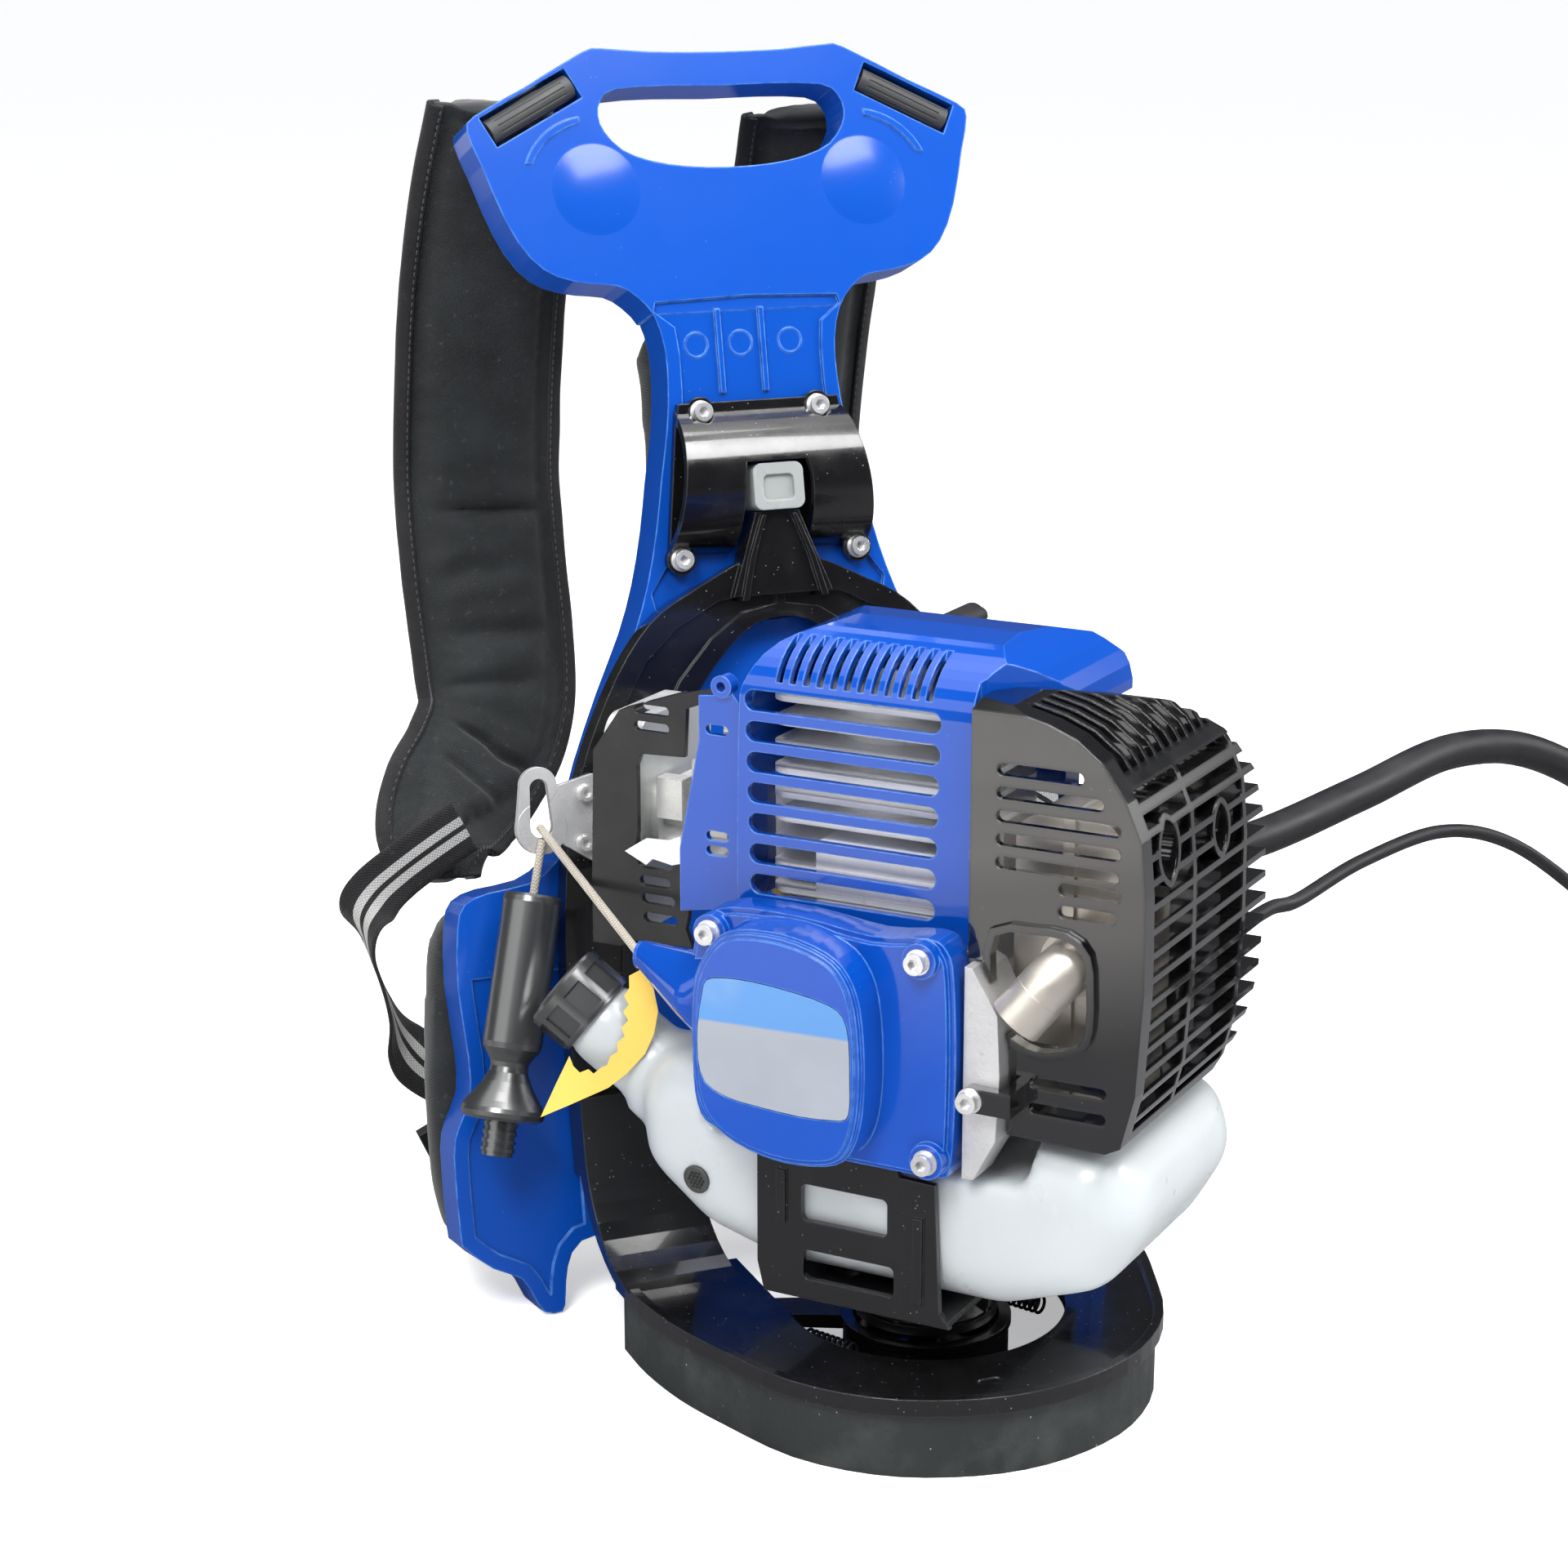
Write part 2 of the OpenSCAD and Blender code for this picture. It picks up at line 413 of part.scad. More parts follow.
// ---------- engine support ----------
module pivot_hub() color([0.03, 0.03, 0.03]) on_engine() {
    difference() {
        union() {
            translate([0, 0, 3.3]) cylinder(r = 7, h = 46);
            translate([0, 0, 29]) cylinder(r = 29, h = 4, $fn = 96);
            translate([0, 0, 33]) rotate_extrude($fn = 96) polygon([[0, 0], [27, 0], [18, 12], [18, 20.8], [0, 20.8]]);
        }
        translate([0, 0, 6]) cylinder(r = 3.2, h = 60);
    }
    for (a = [0:45:359]) rotate([0, 0, a]) translate([14, -1.2, 32]) cube([13.5, 2.4, 14]);
    // screw heads on the rim
    for (a = [20, 110, 200, 290]) rotate([0, 0, a]) translate([22.5, 0, 33]) cylinder(d = 6, h = 5);
}
module tank_bracket() color([0.03, 0.03, 0.03]) on_engine() {
    difference() {
        union() {
            xz(-65.5, -62.6) polygon([[-43, 117.6], [17, 117.6], [19, 113], [34, 112.5], [36.5, 60], [41, 54], [-40, 54], [-43, 66]]);
            translate([-40, -65.5, 54]) cube([80, 130.5, 3]);
            xz(62, 65) polygon([[-40, 54], [40, 54], [36, 110], [-36, 110]]);
            // pressed ribs
            xz(-67, -65) translate([-34, 85]) square([4, 22]);
            xz(-67, -65) translate([25.5, 62]) square([4, 36]);
        }
        xz(-70, -60) rbox(-23.5, 14, 87, 102.5, 2.5);
        xz(-70, -60) rbox(-22.5, 17, 62.5, 75, 2.5);
        translate([0, 0, 50]) cylinder(r = 4, h = 20);
        for (x = [-34, 34]) for (y = [-40, 0, 35]) translate([x * 0.4, y, 50]) cylinder(r = 3, h = 12);
    }
}
// round-cornered blow moulding: centres x, z and radius of its corner spheres
tank_balls = [[-85, 119, 21], [-82, 104, 24], [-64, 90, 24], [-40, 83, 23.5], [52, 83, 23.5], [80, 93, 24], [89, 108, 23.5], [90, 114, 19]];
neck_at = [-99, -28, 117];
neck_lift = 14; // length of the straight filler tube above its shoulder
neck_dir = [0, -58, -14]; // tilt of the filler's axis: towards -X and a little to the front
module neck() translate(neck_at) rotate([0, 0, 14]) rotate([0, -52, 0]) children();
module fuel_tank() color([0.88, 0.9, 0.9]) on_engine() difference() {
    union() {
        hull() for (b = tank_balls) for (y = [-1, 1]) translate([b[0], y * (61.5 - b[2]), b[1]]) sphere(b[2], $fn = 40);
        // filler neck
        neck() {
            translate([0, 0, -12]) cylinder(r = 21, h = 24);
            translate([0, 0, 10]) cylinder(r = 17.5, h = 19 + neck_lift);
            translate([0, 0, 28 + neck_lift]) cylinder(r = 15.2, h = 15);
        }
    }
    neck() translate([0, 0, -8]) cylinder(r = 12.5, h = 60 + neck_lift);
    // saddle under the crankcase
    translate([-70.5, -80, 116.8]) cube([140, 160, 60]);
    translate([17, -80, 113.4]) cube([20, 26, 20]);
}
tag_at = [-121.3, 62.0, 149.4];
// torn half ring of card that hangs in front of the filler neck
tag_pts = [[19.8, 20.1], [24.8, 12.5], [26.7, 3.3], [25, -6], [21.5, -13.9], [14.2, -21.8], [6.6, -27.7], [-8.3, -34.3], [-20.8, -39.6],
    [-15, -27], [-9.2, -14.9], [-7.6, -19], [-5, -21.6], [-1.5, -20.2], [0.6, -22], [3.6, -19.6], [6, -18.6], [7.4, -15], [10.4, -13],
    [10.2, -9.4], [13.2, -7], [11.9, -3.4], [14.6, -0.6], [12.6, 3], [14.8, 6], [12.9, 9.4], [15, 12.6], [14.9, 17.5]];
module filler_tag() color([0.95, 0.8, 0.1]) translate(tag_at) rotate([0, 0, -22]) rotate([74.5, 0, 0]) linear_extrude(0.6) polygon(tag_pts);
module fuel_cap() color([0.04, 0.04, 0.04]) on_engine() neck() translate([0, 0, 30.4 + neck_lift]) difference() {
    union() {
        cylinder(r = cap_d / 2 - 0.6, h = 1.6, $fn = 96);
        translate([0, 0, 1.2]) cylinder(r = cap_d / 2, h = 17.4, $fn = 96);
        // domed end
        translate([0, 0, 18.3]) cylinder(r1 = cap_d / 2 - 0.4, r2 = cap_d / 2 - 1.6, h = 1.6, $fn = 96);
        translate([0, 0, 19.7]) cylinder(r1 = cap_d / 2 - 2.6, r2 = cap_d / 2 - 7, h = 1.2, $fn = 96);
    }
    translate([0, 0, -1]) cylinder(r = 15.3, h = 14.5, $fn = 96);
    // grip pockets round the side
    for (a = [20:40:379]) rotate([0, 0, a]) translate([cap_d / 2 - 1.5, -4.6, 2.6]) cube([4, 9.2, 12.4]);
}

// ---------- engine block ----------
ex = -16; // crankshaft axis
module at_crank() translate([ex, 0, crank_z]) rotate([90, 0, 0]) children();
module crankcase() color([0.72, 0.72, 0.72]) on_engine() difference() {
    union() {
        // front flange, seen at the right of the starter
        xz(-56.4, -40) polygon(path([[-66, 124], [-66, 196], [-60, 203], [-30, 203.4], [44, 203.4], [51, 200], [57, 188], [59, 166], [57, 140], [45, 122], [20, 118.5], [-40, 118.5], [-60, 119]], 1));
        // cast edge right of the cover
        xz(-68, -50) polygon([[46.4, 203.4], [49.5, 203], [60, 186], [61.3, 162], [60, 136], [51, 119], [46.4, 119]]);
        // body
        xz(-40, 36) rbox(-58, 42, 118.5, 203.4, 12);
        translate([-50, -34, 190]) cube([80, 70, 17]);
        for (z = [140, 156, 172, 188]) xz(-52, 20) translate([42, z]) square([8, 3]);
        // rear bearing boss
        translate([ex, 46, crank_z]) rotate([90, 0, 0]) cylinder(r = 34, h = 12);
        // screw lug at the right
    }
    // flywheel chamber and crank chamber
    translate([ex, -15, crank_z]) rotate([90, 0, 0]) cylinder(r = 41, h = 45, $fn = 96);
    translate([ex, 20, crank_z]) rotate([90, 0, 0]) cylinder(r = 30, h = 36, $fn = 64);
    translate([ex, 60, crank_z]) rotate([90, 0, 0]) cylinder(r = 8.05, h = 60);
}
module cylinder_fins() for (i = [0:8]) translate([0, 0, 212 + i * 9.6]) linear_extrude(2.4) translate([-13, 0]) rbox(-38, 44, -42, 38, 9);
module cylinder_block() difference() {
    union() {
        translate([-13, 2, 207.2]) cylinder(r = 28, h = 84);
        translate([-13, 2, 207.2]) linear_extrude(4) rbox(-34, 34, -34, 34, 6);
        cylinder_fins();
        // cast face above the base flange
        xz(-41, -23.7) rbox(-30, 30, 209, 236, 4);
        // spark plug seat
        translate([-13, 2, 288]) cylinder(r = 12, h = 10);
        // exhaust and intake flanges
        translate([12, -16, 218]) cube([24.8, 34, 28]);
        translate([-62, -14, 216]) cube([24, 30, 26]);
    }
    translate([-13, 2, 200]) cylinder(d = bore_d, h = 84, $fn = 96);
    translate([0, 2, 232]) rotate([0, 90, 0]) cylinder(r = 9, h = 60);
    translate([-80, 2, 229]) rotate([0, 90, 0]) cylinder(r = 8, h = 50);
}
module node_cylinder() color([0.75, 0.75, 0.75]) on_engine() cylinder_block();
// side profile of the shroud: y, z
shroud_side = concat([[-50, 204]], [for (a = [0:9:90]) [-50 + 34 * (1 - cos(a)), 292 + 24 * sin(a)]], [[0, 316.5], [20, 315], [40, 310], [52, 300], [54, 285], [54, 240]]);
shroud_in = concat([[-47, 200]], [for (a = [0:9:90]) [-47 + 31 * (1 - cos(a)), 292 + 21 * sin(a)]], [[0, 313.5], [20, 312], [39, 307], [49, 298], [51, 285], [51, 230]]);
module shroud() color("blue") on_engine() difference() {
    union() {
        intersection() {
            yz(-60, 40) polygon(concat(shroud_side, [[54, 240], [40, 236], [-44, 204]]));
            // rounded corners in front view
            xz(-60, 60) polygon(smooth([[-60.5, 204], [-60, 240], [-59, 285], [-57, 297], [-48, 311], [-30, 317], [0, 319], [24, 318.5], [36, 315], [40, 304], [40, 285], [39.5, 240], [39, 204]], 3));
        }
        // shoulder over the exhaust side
        intersection() {
            yz(30, 66) polygon(concat([for (p = shroud_side) if (p[1] > 285) p], [[52, 285], [-44, 285]]));
            xz(-60, 60) polygon([[30, 284], [30, 318.2], [36, 316.9], [42, 314.6], [48, 311.2], [53, 307], [57.5, 301.6], [60.6, 296], [62.1, 290], [62.1, 286], [41, 284]]);
            translate([0, 0, 200]) linear_extrude(200) polygon([[30, -50], [36, -47], [42, -41.5], [48, -31.5], [54, -19.5], [58.5, -8.5], [60.9, 2], [62, 14], [62.1, 52], [30, 54]]);
        }
    }
    // hollow
    intersection() {
        yz(-57, 37) polygon(concat(shroud_in, [[51, 230], [40, 190], [-47, 190]]));
        xz(-60, 60) polygon(smooth([[-57, 190], [-57, 240], [-56, 284], [-54, 295], [-46, 308], [-30, 314], [0, 316], [24, 315.5], [34, 312], [37, 303], [37, 285], [36.5, 240], [36, 190]], 3));
    }
    intersection() {
        yz(36, 60) polygon(concat([for (p = shroud_in) if (p[1] > 280) p], [[49, 280], [-41, 280]]));
        xz(-60, 60) polygon([[30, 270], [30, 314.5], [36, 313.3], [41, 311.5], [46.5, 308], [51, 304.2], [55, 299.2], [57.8, 294], [59, 289], [59, 280], [40, 270]]);
        translate([0, 0, 200]) linear_extrude(200) polygon([[30, -47], [39, -39], [50, -19], [57, 0], [59, 49], [30, 51]]);
    }
    // front slots
    for (i = [0:slot_count - 1]) xz(-60, -44) slot(-56.5 + i * 0.4, 27 - i * 0.3, 290 - i * 12.2, 8.2);
    // louvres over the top edge
    for (i = [0:11]) translate([-42 + i * 5.75, 0, 0]) {
        yz(-1.4, 1.4) polygon([[-52, 299], [-46, 297], [-33, 309], [-28, 318], [-36, 319], [-48, 309]]);
    }
    // side windows towards the cylinder
    translate([36, -30, 215]) cube([10, 70, 62]);
    translate([-66, -30, 205]) cube([12, 64, 50]);
    // hole for the spark plug cap
    translate([-13, 70, 305]) rotate([90, 0, 0]) cylinder(r = 8, h = 48);
}
module intake_panel() color("blue") on_engine() difference() {
    union() {
        xz(-46, -43) polygon([[-88, 199], [-66.6, 203], [-66.4, 204.2], [-61.2, 204.4], [-61.2, 287], [-64, 290], [-79, 288], [-79, 270], [-83, 250], [-88, 225]]);
        translate([-63.4, -46, 204.2]) cube([2.2, 30, 82.8]);
        // lugs
        translate([-68, -48, 293]) rotate([-90, 0, 0]) cylinder(d = 9, h = 6);
        translate([-70, -46, 284]) cube([6, 3, 9]);
    }
    for (z = [232, 226, 275]) xz(-50, -40) slot(-76, -66, z, 4);
    translate([-68, -55, 293]) rotate([-90, 0, 0]) cylinder(d = 4, h = 20);
}

// ---------- starter ----------
base_pts = [[-58, 122], [-30, 119], [20, 118.5], [37, 119], [43.5, 124], [45, 160], [44, 198], [41, 209.5], [33, 213.5], [10, 211], [-20, 214], [-50, 213.5], [-62, 207], [-68, 190], [-68, 150], [-66, 130]];
hump = [[-57, 150], [-58, 170], [-56.5, 190], [-48.5, 205], [-38, 211.5], [-18, 212.5], [0, 208], [9, 200.5], [14, 188], [16, 166], [15.2, 146], [11.5, 132], [4, 124], [-12, 121], [-28, 122], [-43, 127], [-53, 136]];
starter_holes = [[32, 206], [36, 127], [-57, 204]];
spout_z = 184;
module starter_cover() color("blue") on_engine() difference() {
    union() {
        // base housing with its rim
        xz(-72, -58) polygon(smooth(base_pts, 3));
        xz(-74.5, -71.5) polygon(inset(smooth(base_pts, 3), 2.5));
        // hump
        xz(-90, -60) polygon(smooth(hump, 3));
        xz(-92, -60) polygon(inset(smooth(hump, 3), 1.4));
        xz(-93, -60) polygon(inset(smooth(hump, 3), 3.2));
        // bosses
        for (p = starter_holes) translate([p[0], -58, p[1]]) rotate([90, 0, 0]) cylinder(d = 14, h = 20);
        // rope spout
        hull() {
            translate([-96, -62, spout_z]) rotate([0, 90, 0]) cylinder(d = 11.6, h = 2, $fn = 32);
            translate([-66, -71, 176]) sphere(12, $fn = 32);
            translate([-58, -72, 183]) sphere(9.5, $fn = 32);
            translate([-58, -72, 166]) sphere(9, $fn = 32);
        }
        translate([-97.5, -62, spout_z]) rotate([0, 90, 0]) cylinder(d = 11, h = 8);
    }
    // cavity for the pulley
    translate([ex, -57, crank_z]) rotate([90, 0, 0]) cylinder(r = 36.5, h = 14.6, $fn = 96);
    translate([ex, -71, crank_z]) rotate([90, 0, 0]) cylinder(r = 27, h = 18, $fn = 96);
    // rope way
    translate([-110, -62, spout_z]) rotate([0, 90, 0]) cylinder(d = 6, h = 90);
    for (p = starter_holes) translate([p[0], -50, p[1]]) rotate([90, 0, 0]) cylinder(d = 5.2, h = 40, $fn = 32);
    // recess for the label plate
    xz(-94, -92.4) polygon(label_pts);
}
label_pts = smooth([[-52, 185], [-50, 190.5], [-43, 192.5], [-30, 193], [-12, 191.5], [2, 189], [8.5, 185], [11, 176], [11.5, 160], [11.5, 150], [10, 144.5], [4, 143], [-10, 142], [-30, 143], [-42, 144.5], [-51, 149], [-54, 158], [-54, 172]], 2);
module label_plate() color([0.6, 0.65, 0.7]) on_engine() xz(-93.1, -92.45) polygon(inset(label_pts, 0.35));
module starter_screws() color("silver") on_engine() {
    for (p = starter_holes) translate([p[0], -78.1, p[1]]) rotate([90, 0, 0]) cap_screw(5, 20);
    // guard screw at the right
    translate([51.6, -73, 153]) rotate([90, 0, 0]) cap_screw(5, 4.3);
}
module starter_pulley() color([0.15, 0.15, 0.15]) on_engine() difference() {
    translate([ex, -60, crank_z]) rotate([90, 0, 0]) rotate_extrude($fn = 96)
        polygon([[5.1, 0], [pulley_r + 5, 0], [pulley_r + 5, 1.6], [pulley_r, 4], [pulley_r, 7], [pulley_r + 5, 9.4], [pulley_r + 5, 11], [24, 11], [24, 14], [5.1, 14]]);
    for (a = [0, 120, 240]) translate([ex, -55, crank_z]) rotate([0, a, 0]) translate([16, 0, 0]) rotate([90, 0, 0]) cylinder(r = 4, h = 30);
}
module flywheel() color([0.65, 0.65, 0.65]) on_engine() translate([ex, 0, crank_z]) rotate([90, 0, 0]) {
    // shaft through the case
    translate([0, 0, -60]) cylinder(r = 8, h = 77, $fn = 48);
    difference() {
        translate([0, 0, 17]) cylinder(r = 39, h = 12, $fn = 96);
        for (a = [0:60:359]) rotate([0, 0, a]) translate([26, 0, 20]) cylinder(r = 6, h = 12);
    }
    for (a = [0:30:359]) rotate([0, 0, a]) translate([22, -1, 28]) cube([16.5, 2, 13]);
    translate([0, 0, 28]) cylinder(r = 14, h = 16);
    translate([0, 0, -1]) cylinder(r = 27, h = 14);
}

// ---------- exhaust side ----------
module muffler() color([0.6, 0.58, 0.55]) on_engine() difference() {
    union() {
        xz(-36, 42) rbox(52, 96, 166, 256, 10);
        xz(-38, 44) rbox(72, 77, 163, 259, 2.4);
        translate([37, -12, 222]) cube([16, 28, 22]);
        // outlet stub towards the front
        translate([82, -35, 205]) rotate([90, 0, 0]) cylinder(r = 12, h = 12);
    }
    translate([82, -30, 205]) rotate([90, 0, 0]) cylinder(r = 9.4, h = 30);
}
module exhaust_deflector() color([0.7, 0.68, 0.64]) on_engine() {
    difference() {
        translate([82, -47.1, 205]) rotate([90, 0, 0]) cylinder(r = 13, h = 3);
        translate([82, -40, 205]) rotate([90, 0, 0]) cylinder(r = 9.7, h = 20);
    }
    // pipe that bends down and outwards
    translate([82, -49.5, 205]) bent() {
        rotate_extrude(angle = 76, $fn = 64) translate([15, 0]) difference() {
            circle(10.4, $fn = 48);
            circle(9.2, $fn = 48);
        }
        // the last stretch is open at the back
        rotate([0, 0, 75]) translate([15, 0, 0]) rotate([-90, 0, 0]) intersection() {
            difference() {
                cylinder(r = 10.5, h = 14);
                translate([0, 0, -1]) cylinder(r = 9.1, h = 16);
            }
            translate([-3, -12, 0]) cube([16, 24, 14]);
        }
    }
}
module bent() multmatrix([[0.6, 0, 0.8, -9], [0, -1, 0, 0], [0.8, 0, -0.6, -12]]) children();
// front outline of the guard: x, z, and its side profile: y, z
guard_front = [[44, 137], [101, 136], [107, 139], [112.3, 160], [114.7, 200], [114.2, 236], [112.1, 258], [106, 272], [96, 286], [86, 293.6], [75, 298], [58, 302], [44, 303]];
guard_side = [[-60, 136], [30, 136], [56, 148], [68, 172], [69, 205], [66, 235], [57, 259], [46, 276], [22, 291], [-20, 301], [-45, 305], [-60, 300]];
function opened(p) = [for (q = p) [q[0] < 56 ? 40 : q[0], q[1]]];
module guard_solid() intersection() {
    yz(43, 122) polygon(guard_side);
    xz(-61, 90) polygon(guard_front);
}
module guard_void(d) intersection() {
    yz(39, 122) polygon(inset(guard_side, d));
    xz(-62, 90) polygon(opened(inset(guard_front, d)));
}
module lens(y, z, h, w) translate([y, z]) intersection() {
    r = (h * h + w * w) / (2 * w);
    translate([r - w, 0]) circle(r, $fn = 64);
    translate([w - r, 0]) circle(r, $fn = 64);
}
guard_window = smooth([[56, 215.5], [70, 218], [84, 218], [91.5, 212], [93, 200], [93, 185], [89.5, 177], [78, 173], [69, 173.5], [58, 181], [54.5, 198]], 2);
lens_at = [[-34, 249, 14, 11], [19, 244.2, 12, 9.5]];
module muffler_guard() color([0.02, 0.02, 0.02]) on_engine() difference() {
    union() {
        difference() {
            guard_solid();
            guard_void(3);
            // the side and the rear are open behind the front panel
            translate([40, -51, 143]) cube([90, 150, 133.3]);
        }
        // fins round the side and the rear
        intersection() {
            difference() {
                guard_solid();
                guard_void(9);
                xz(-59, -45) polygon(opened(inset(guard_front, 9)));
            }
            union() {
                difference() {
                    union() {
                        for (i = [0:12]) translate([40, -53, 146.5 + i * 9.3]) cube([90, 140, 2.6]);
                        for (i = [0:1]) translate([40, -53, 266 + i * 8.4]) cube([90, 140, 4]);
                    }
                    for (l = lens_at) yz(89, 131) lens(l[0], l[1], l[2] - 1.3, l[3] - 1.1);
                }
                for (l = lens_at) yz(90, 130) difference() {
                    lens(l[0], l[1], l[2], l[3]);
                    lens(l[0], l[1], l[2] - 2.4, l[3] - 2.4);
                }
            }
        }
        // struts behind the fins
        intersection() {
            difference() {
                guard_solid();
                guard_void(9);
            }
            union() {
                for (y = [-12, 42]) translate([90, y, 138]) cube([25.2, 3.5, 148]);
                translate([84, 30, 138]) cube([3.5, 40, 148]);
                translate([56, 30, 138]) cube([3.5, 40, 148]);
            }
        }
        // rolled rim of the outlet
        xz(-62.6, -57.5) polygon(inset(guard_window, -3));
        // lug to the crankcase screw
        translate([51.6, -68.4, 153]) rotate([90, 0, 0]) cylinder(d = 10, h = 4.5);
        translate([52, -72.9, 148.2]) cube([15, 4.5, 9.6]);
        translate([63, -72.9, 148.2]) cube([5, 14, 9.6]);
    }
    // screw
    translate([51.6, -60, 153]) rotate([90, 0, 0]) cylinder(d = 5.3, h = 20, $fn = 32);
    // room for the crankcase's flange
    translate([30, -57, 110]) cube([30, 25, 95]);
    xz(-68.2, -40) polygon([[40, 204.4], [50, 204.2], [61, 186.4], [62.2, 162], [61, 135.6], [51.6, 118], [40, 118]]);
    // front slots, five long rows and two short ones
    for (i = [0:4]) xz(-70, -50) slot(54.5, 89 + [0, 8, 15, 15, 14.5][i], 279 - i * 8.9, 4.8);
    for (i = [0:1]) xz(-70, -50) slot(80, 104.5 - i * 1.5, 236.5 - i * 8.6, 4.8);
    for (i = [0:1]) xz(-70, -50) slot(70, 101, 159.5 - i * 10.2, 4.2);
    // outlet window
    xz(-70, -40) polygon(guard_window);
    // comb over the top, its teeth run from the shroud to the rounded corner
    for (i = [0:10]) translate([62, -49 + i * 8.1, 262]) cube([38, 5.2, 60]);
    // room for the shroud's shoulder
    translate([0, 0, 280]) linear_extrude(60) polygon([[30, -49.5], [42.2, -43], [54, -22], [62, -3], [63.5, 60], [30, 60]]);
}

// ---------- intake side ----------
module filter_plate() color([0.04, 0.04, 0.04]) on_engine() difference() {
    union() {
        xz(-26, -23.4) polygon([[-141, 172], [-141, 200], [-139.5, 254], [-127, 272], [-100, 281.5], [-76, 287.5], [-76, 284], [-96, 276], [-97, 256], [-117, 255], [-119, 250],
            [-119, 222], [-121, 214], [-112, 212], [-98, 217.5], [-95.5, 214], [-98, 208], [-95.5, 203], [-98, 197], [-95.5, 191], [-97, 184], [-94, 176.5], [-122, 175.5], [-128, 172]]);
        xz(-23.4, -18.5) polygon([[-141, 172], [-141, 200], [-139.5, 254], [-127, 272], [-100, 281.5], [-97, 279], [-125, 268.5], [-136.5, 253], [-138, 200], [-138, 172]]);
    }
    for (z = [273.6, 266.6]) xz(-40, -10) slot(-120, -104, z, 4);
    translate([-100.6, -40, 216]) rotate([-90, 0, 0]) cylinder(r = 4.2, h = 30);
    for (i = [0:3]) xz(-40, -10) slot(-119 + i * 0.8, [-103, -104, -102, -101][i], [211.5, 204, 196.5, 188.5][i] - 2, 4.4);
}
module filter_box() color([0.05, 0.05, 0.05]) on_engine() difference() {
    union() {
        translate([-140, 0, 0]) yz(0, 17) rbox(-17, 42, 176, 266, 10);
        translate([-123.4, 6, 221]) rotate([0, 90, 0]) cylinder(r = 15, h = 4.2);
    }
    translate([-137, 0, 0]) yz(0, 11) rbox(-14, 38, 180, 262, 7);
    translate([-128, 6, 221]) rotate([0, 90, 0]) cylinder(r = 8.5, h = 12);
    for (i = [0:4]) translate([-145, -5, 192 + i * 13]) cube([8, 32, 6]);
}
module carburettor() color([0.7, 0.7, 0.68]) on_engine() difference() {
    union() {
        translate([-102, -12, 204]) cube([26, 34, 36]);
        translate([-118.8, -10, 207]) cube([17, 30, 31]);
        translate([-116, -16, 226]) cube([12, 8, 17]);
        translate([-112, -13.5, 212]) rotate([-90, 0, 0]) cylinder(r = 4.5, h = 6);
        translate([-97, -18, 222]) cube([15, 7, 22]);
        translate([-100, -15, 240]) cube([20, 20, 12]);
        translate([-89, 4, 240]) cylinder(r = 10, h = 16);
        translate([-89, 4, 256]) cylinder(r = 6, h = 5);
        translate([-89, 4, 198.6]) cylinder(r = 12, h = 5.6);
        for (z = [212, 232]) translate([-84, -12, z]) rotate([90, 0, 0]) cylinder(r = 3, h = 6);
    }
    translate([-120, 6, 221]) rotate([0, 90, 0]) cylinder(r = 8.5, h = 50);
    translate([-89, 4, 204]) cylinder(r = 1.6, h = 80);
    translate([-100.6, -30, 216]) rotate([-90, 0, 0]) cylinder(r = 1.55, h = 24);
    // room for the bulb's flange
    translate([-89, 4, 198]) cylinder(r = 9.5, h = 3.2);
}
module intake_flange() color([0.05, 0.05, 0.05]) on_engine() difference() {
    union() {
        translate([-76, -10, 208]) cube([13.9, 30, 28]);
    }
    translate([-80, 5, 222]) rotate([0, 90, 0]) cylinder(r = 8, h = 40);
}
choke_at = [-100.6, 216];
module choke_lever() color([0.85, 0.85, 0.85]) on_engine() {
    translate([choke_at[0], -8, choke_at[1]]) rotate([90, 0, 0]) cylinder(r = 1.5, h = 20, $fn = 32);
    xz(-29.8, -27.2) polygon([[-104, 221], [-97, 224], [-96, 213], [-101, 211.5], [-110, 213], [-113, 210], [-123, 214.5], [-114, 220.5]]);
    translate([choke_at[0], -18.8, choke_at[1]]) rotate([90, 0, 0]) cylinder(r = 3.6, h = 8.5);
}
module throttle_lever() color([0.3, 0.3, 0.3]) on_engine() {
    translate([-89, 4, 246]) cylinder(r = 1.55, h = 19, $fn = 32);
    translate([-89, 4, 261.3]) linear_extrude(2.4) polygon([[-4, -5], [4, -5], [4, 5], [20, 12], [19, 16], [-2, 9], [-5, 5]]);
}
module primer_bulb() color([0.8, 0.8, 0.75]) on_engine() translate([-89, 4, 198.4]) rotate([180, 0, 0]) {
    cylinder(r = 9, h = 2);
    translate([0, 0, 2]) intersection() {
        translate([0, 0, -3]) sphere(9, $fn = 48);
        cylinder(r = 10, h = 10);
    }
}
module plug_cap() color([0.03, 0.03, 0.03]) on_engine() {
    difference() {
        union() {
            translate([-13, 2, 298.2]) rotate([0, 0, 200]) cylinder(r = 9, h = 12.8);
            translate([-13, 5, 304.6]) rotate([-90, 0, 0]) rotate([0, 0, 40]) cylinder(r = 5.8, h = 59);
        }
        translate([-13, 2, 298]) cylinder(r = 5, h = 6);
    }
}
lead_pts = [[-13, 64.3, 305], [-14, 74, 303], [-24, 80, 292], [-42, 78, 272], [-58, 70, 250], [-67, 56, 228], [-68, 42, 210], [-65, 34, 196], [-61.4, 30, 188]];
module ignition_lead() color([0.03, 0.03, 0.03]) on_engine() tube(path(lead_pts, 3), 3, 10);
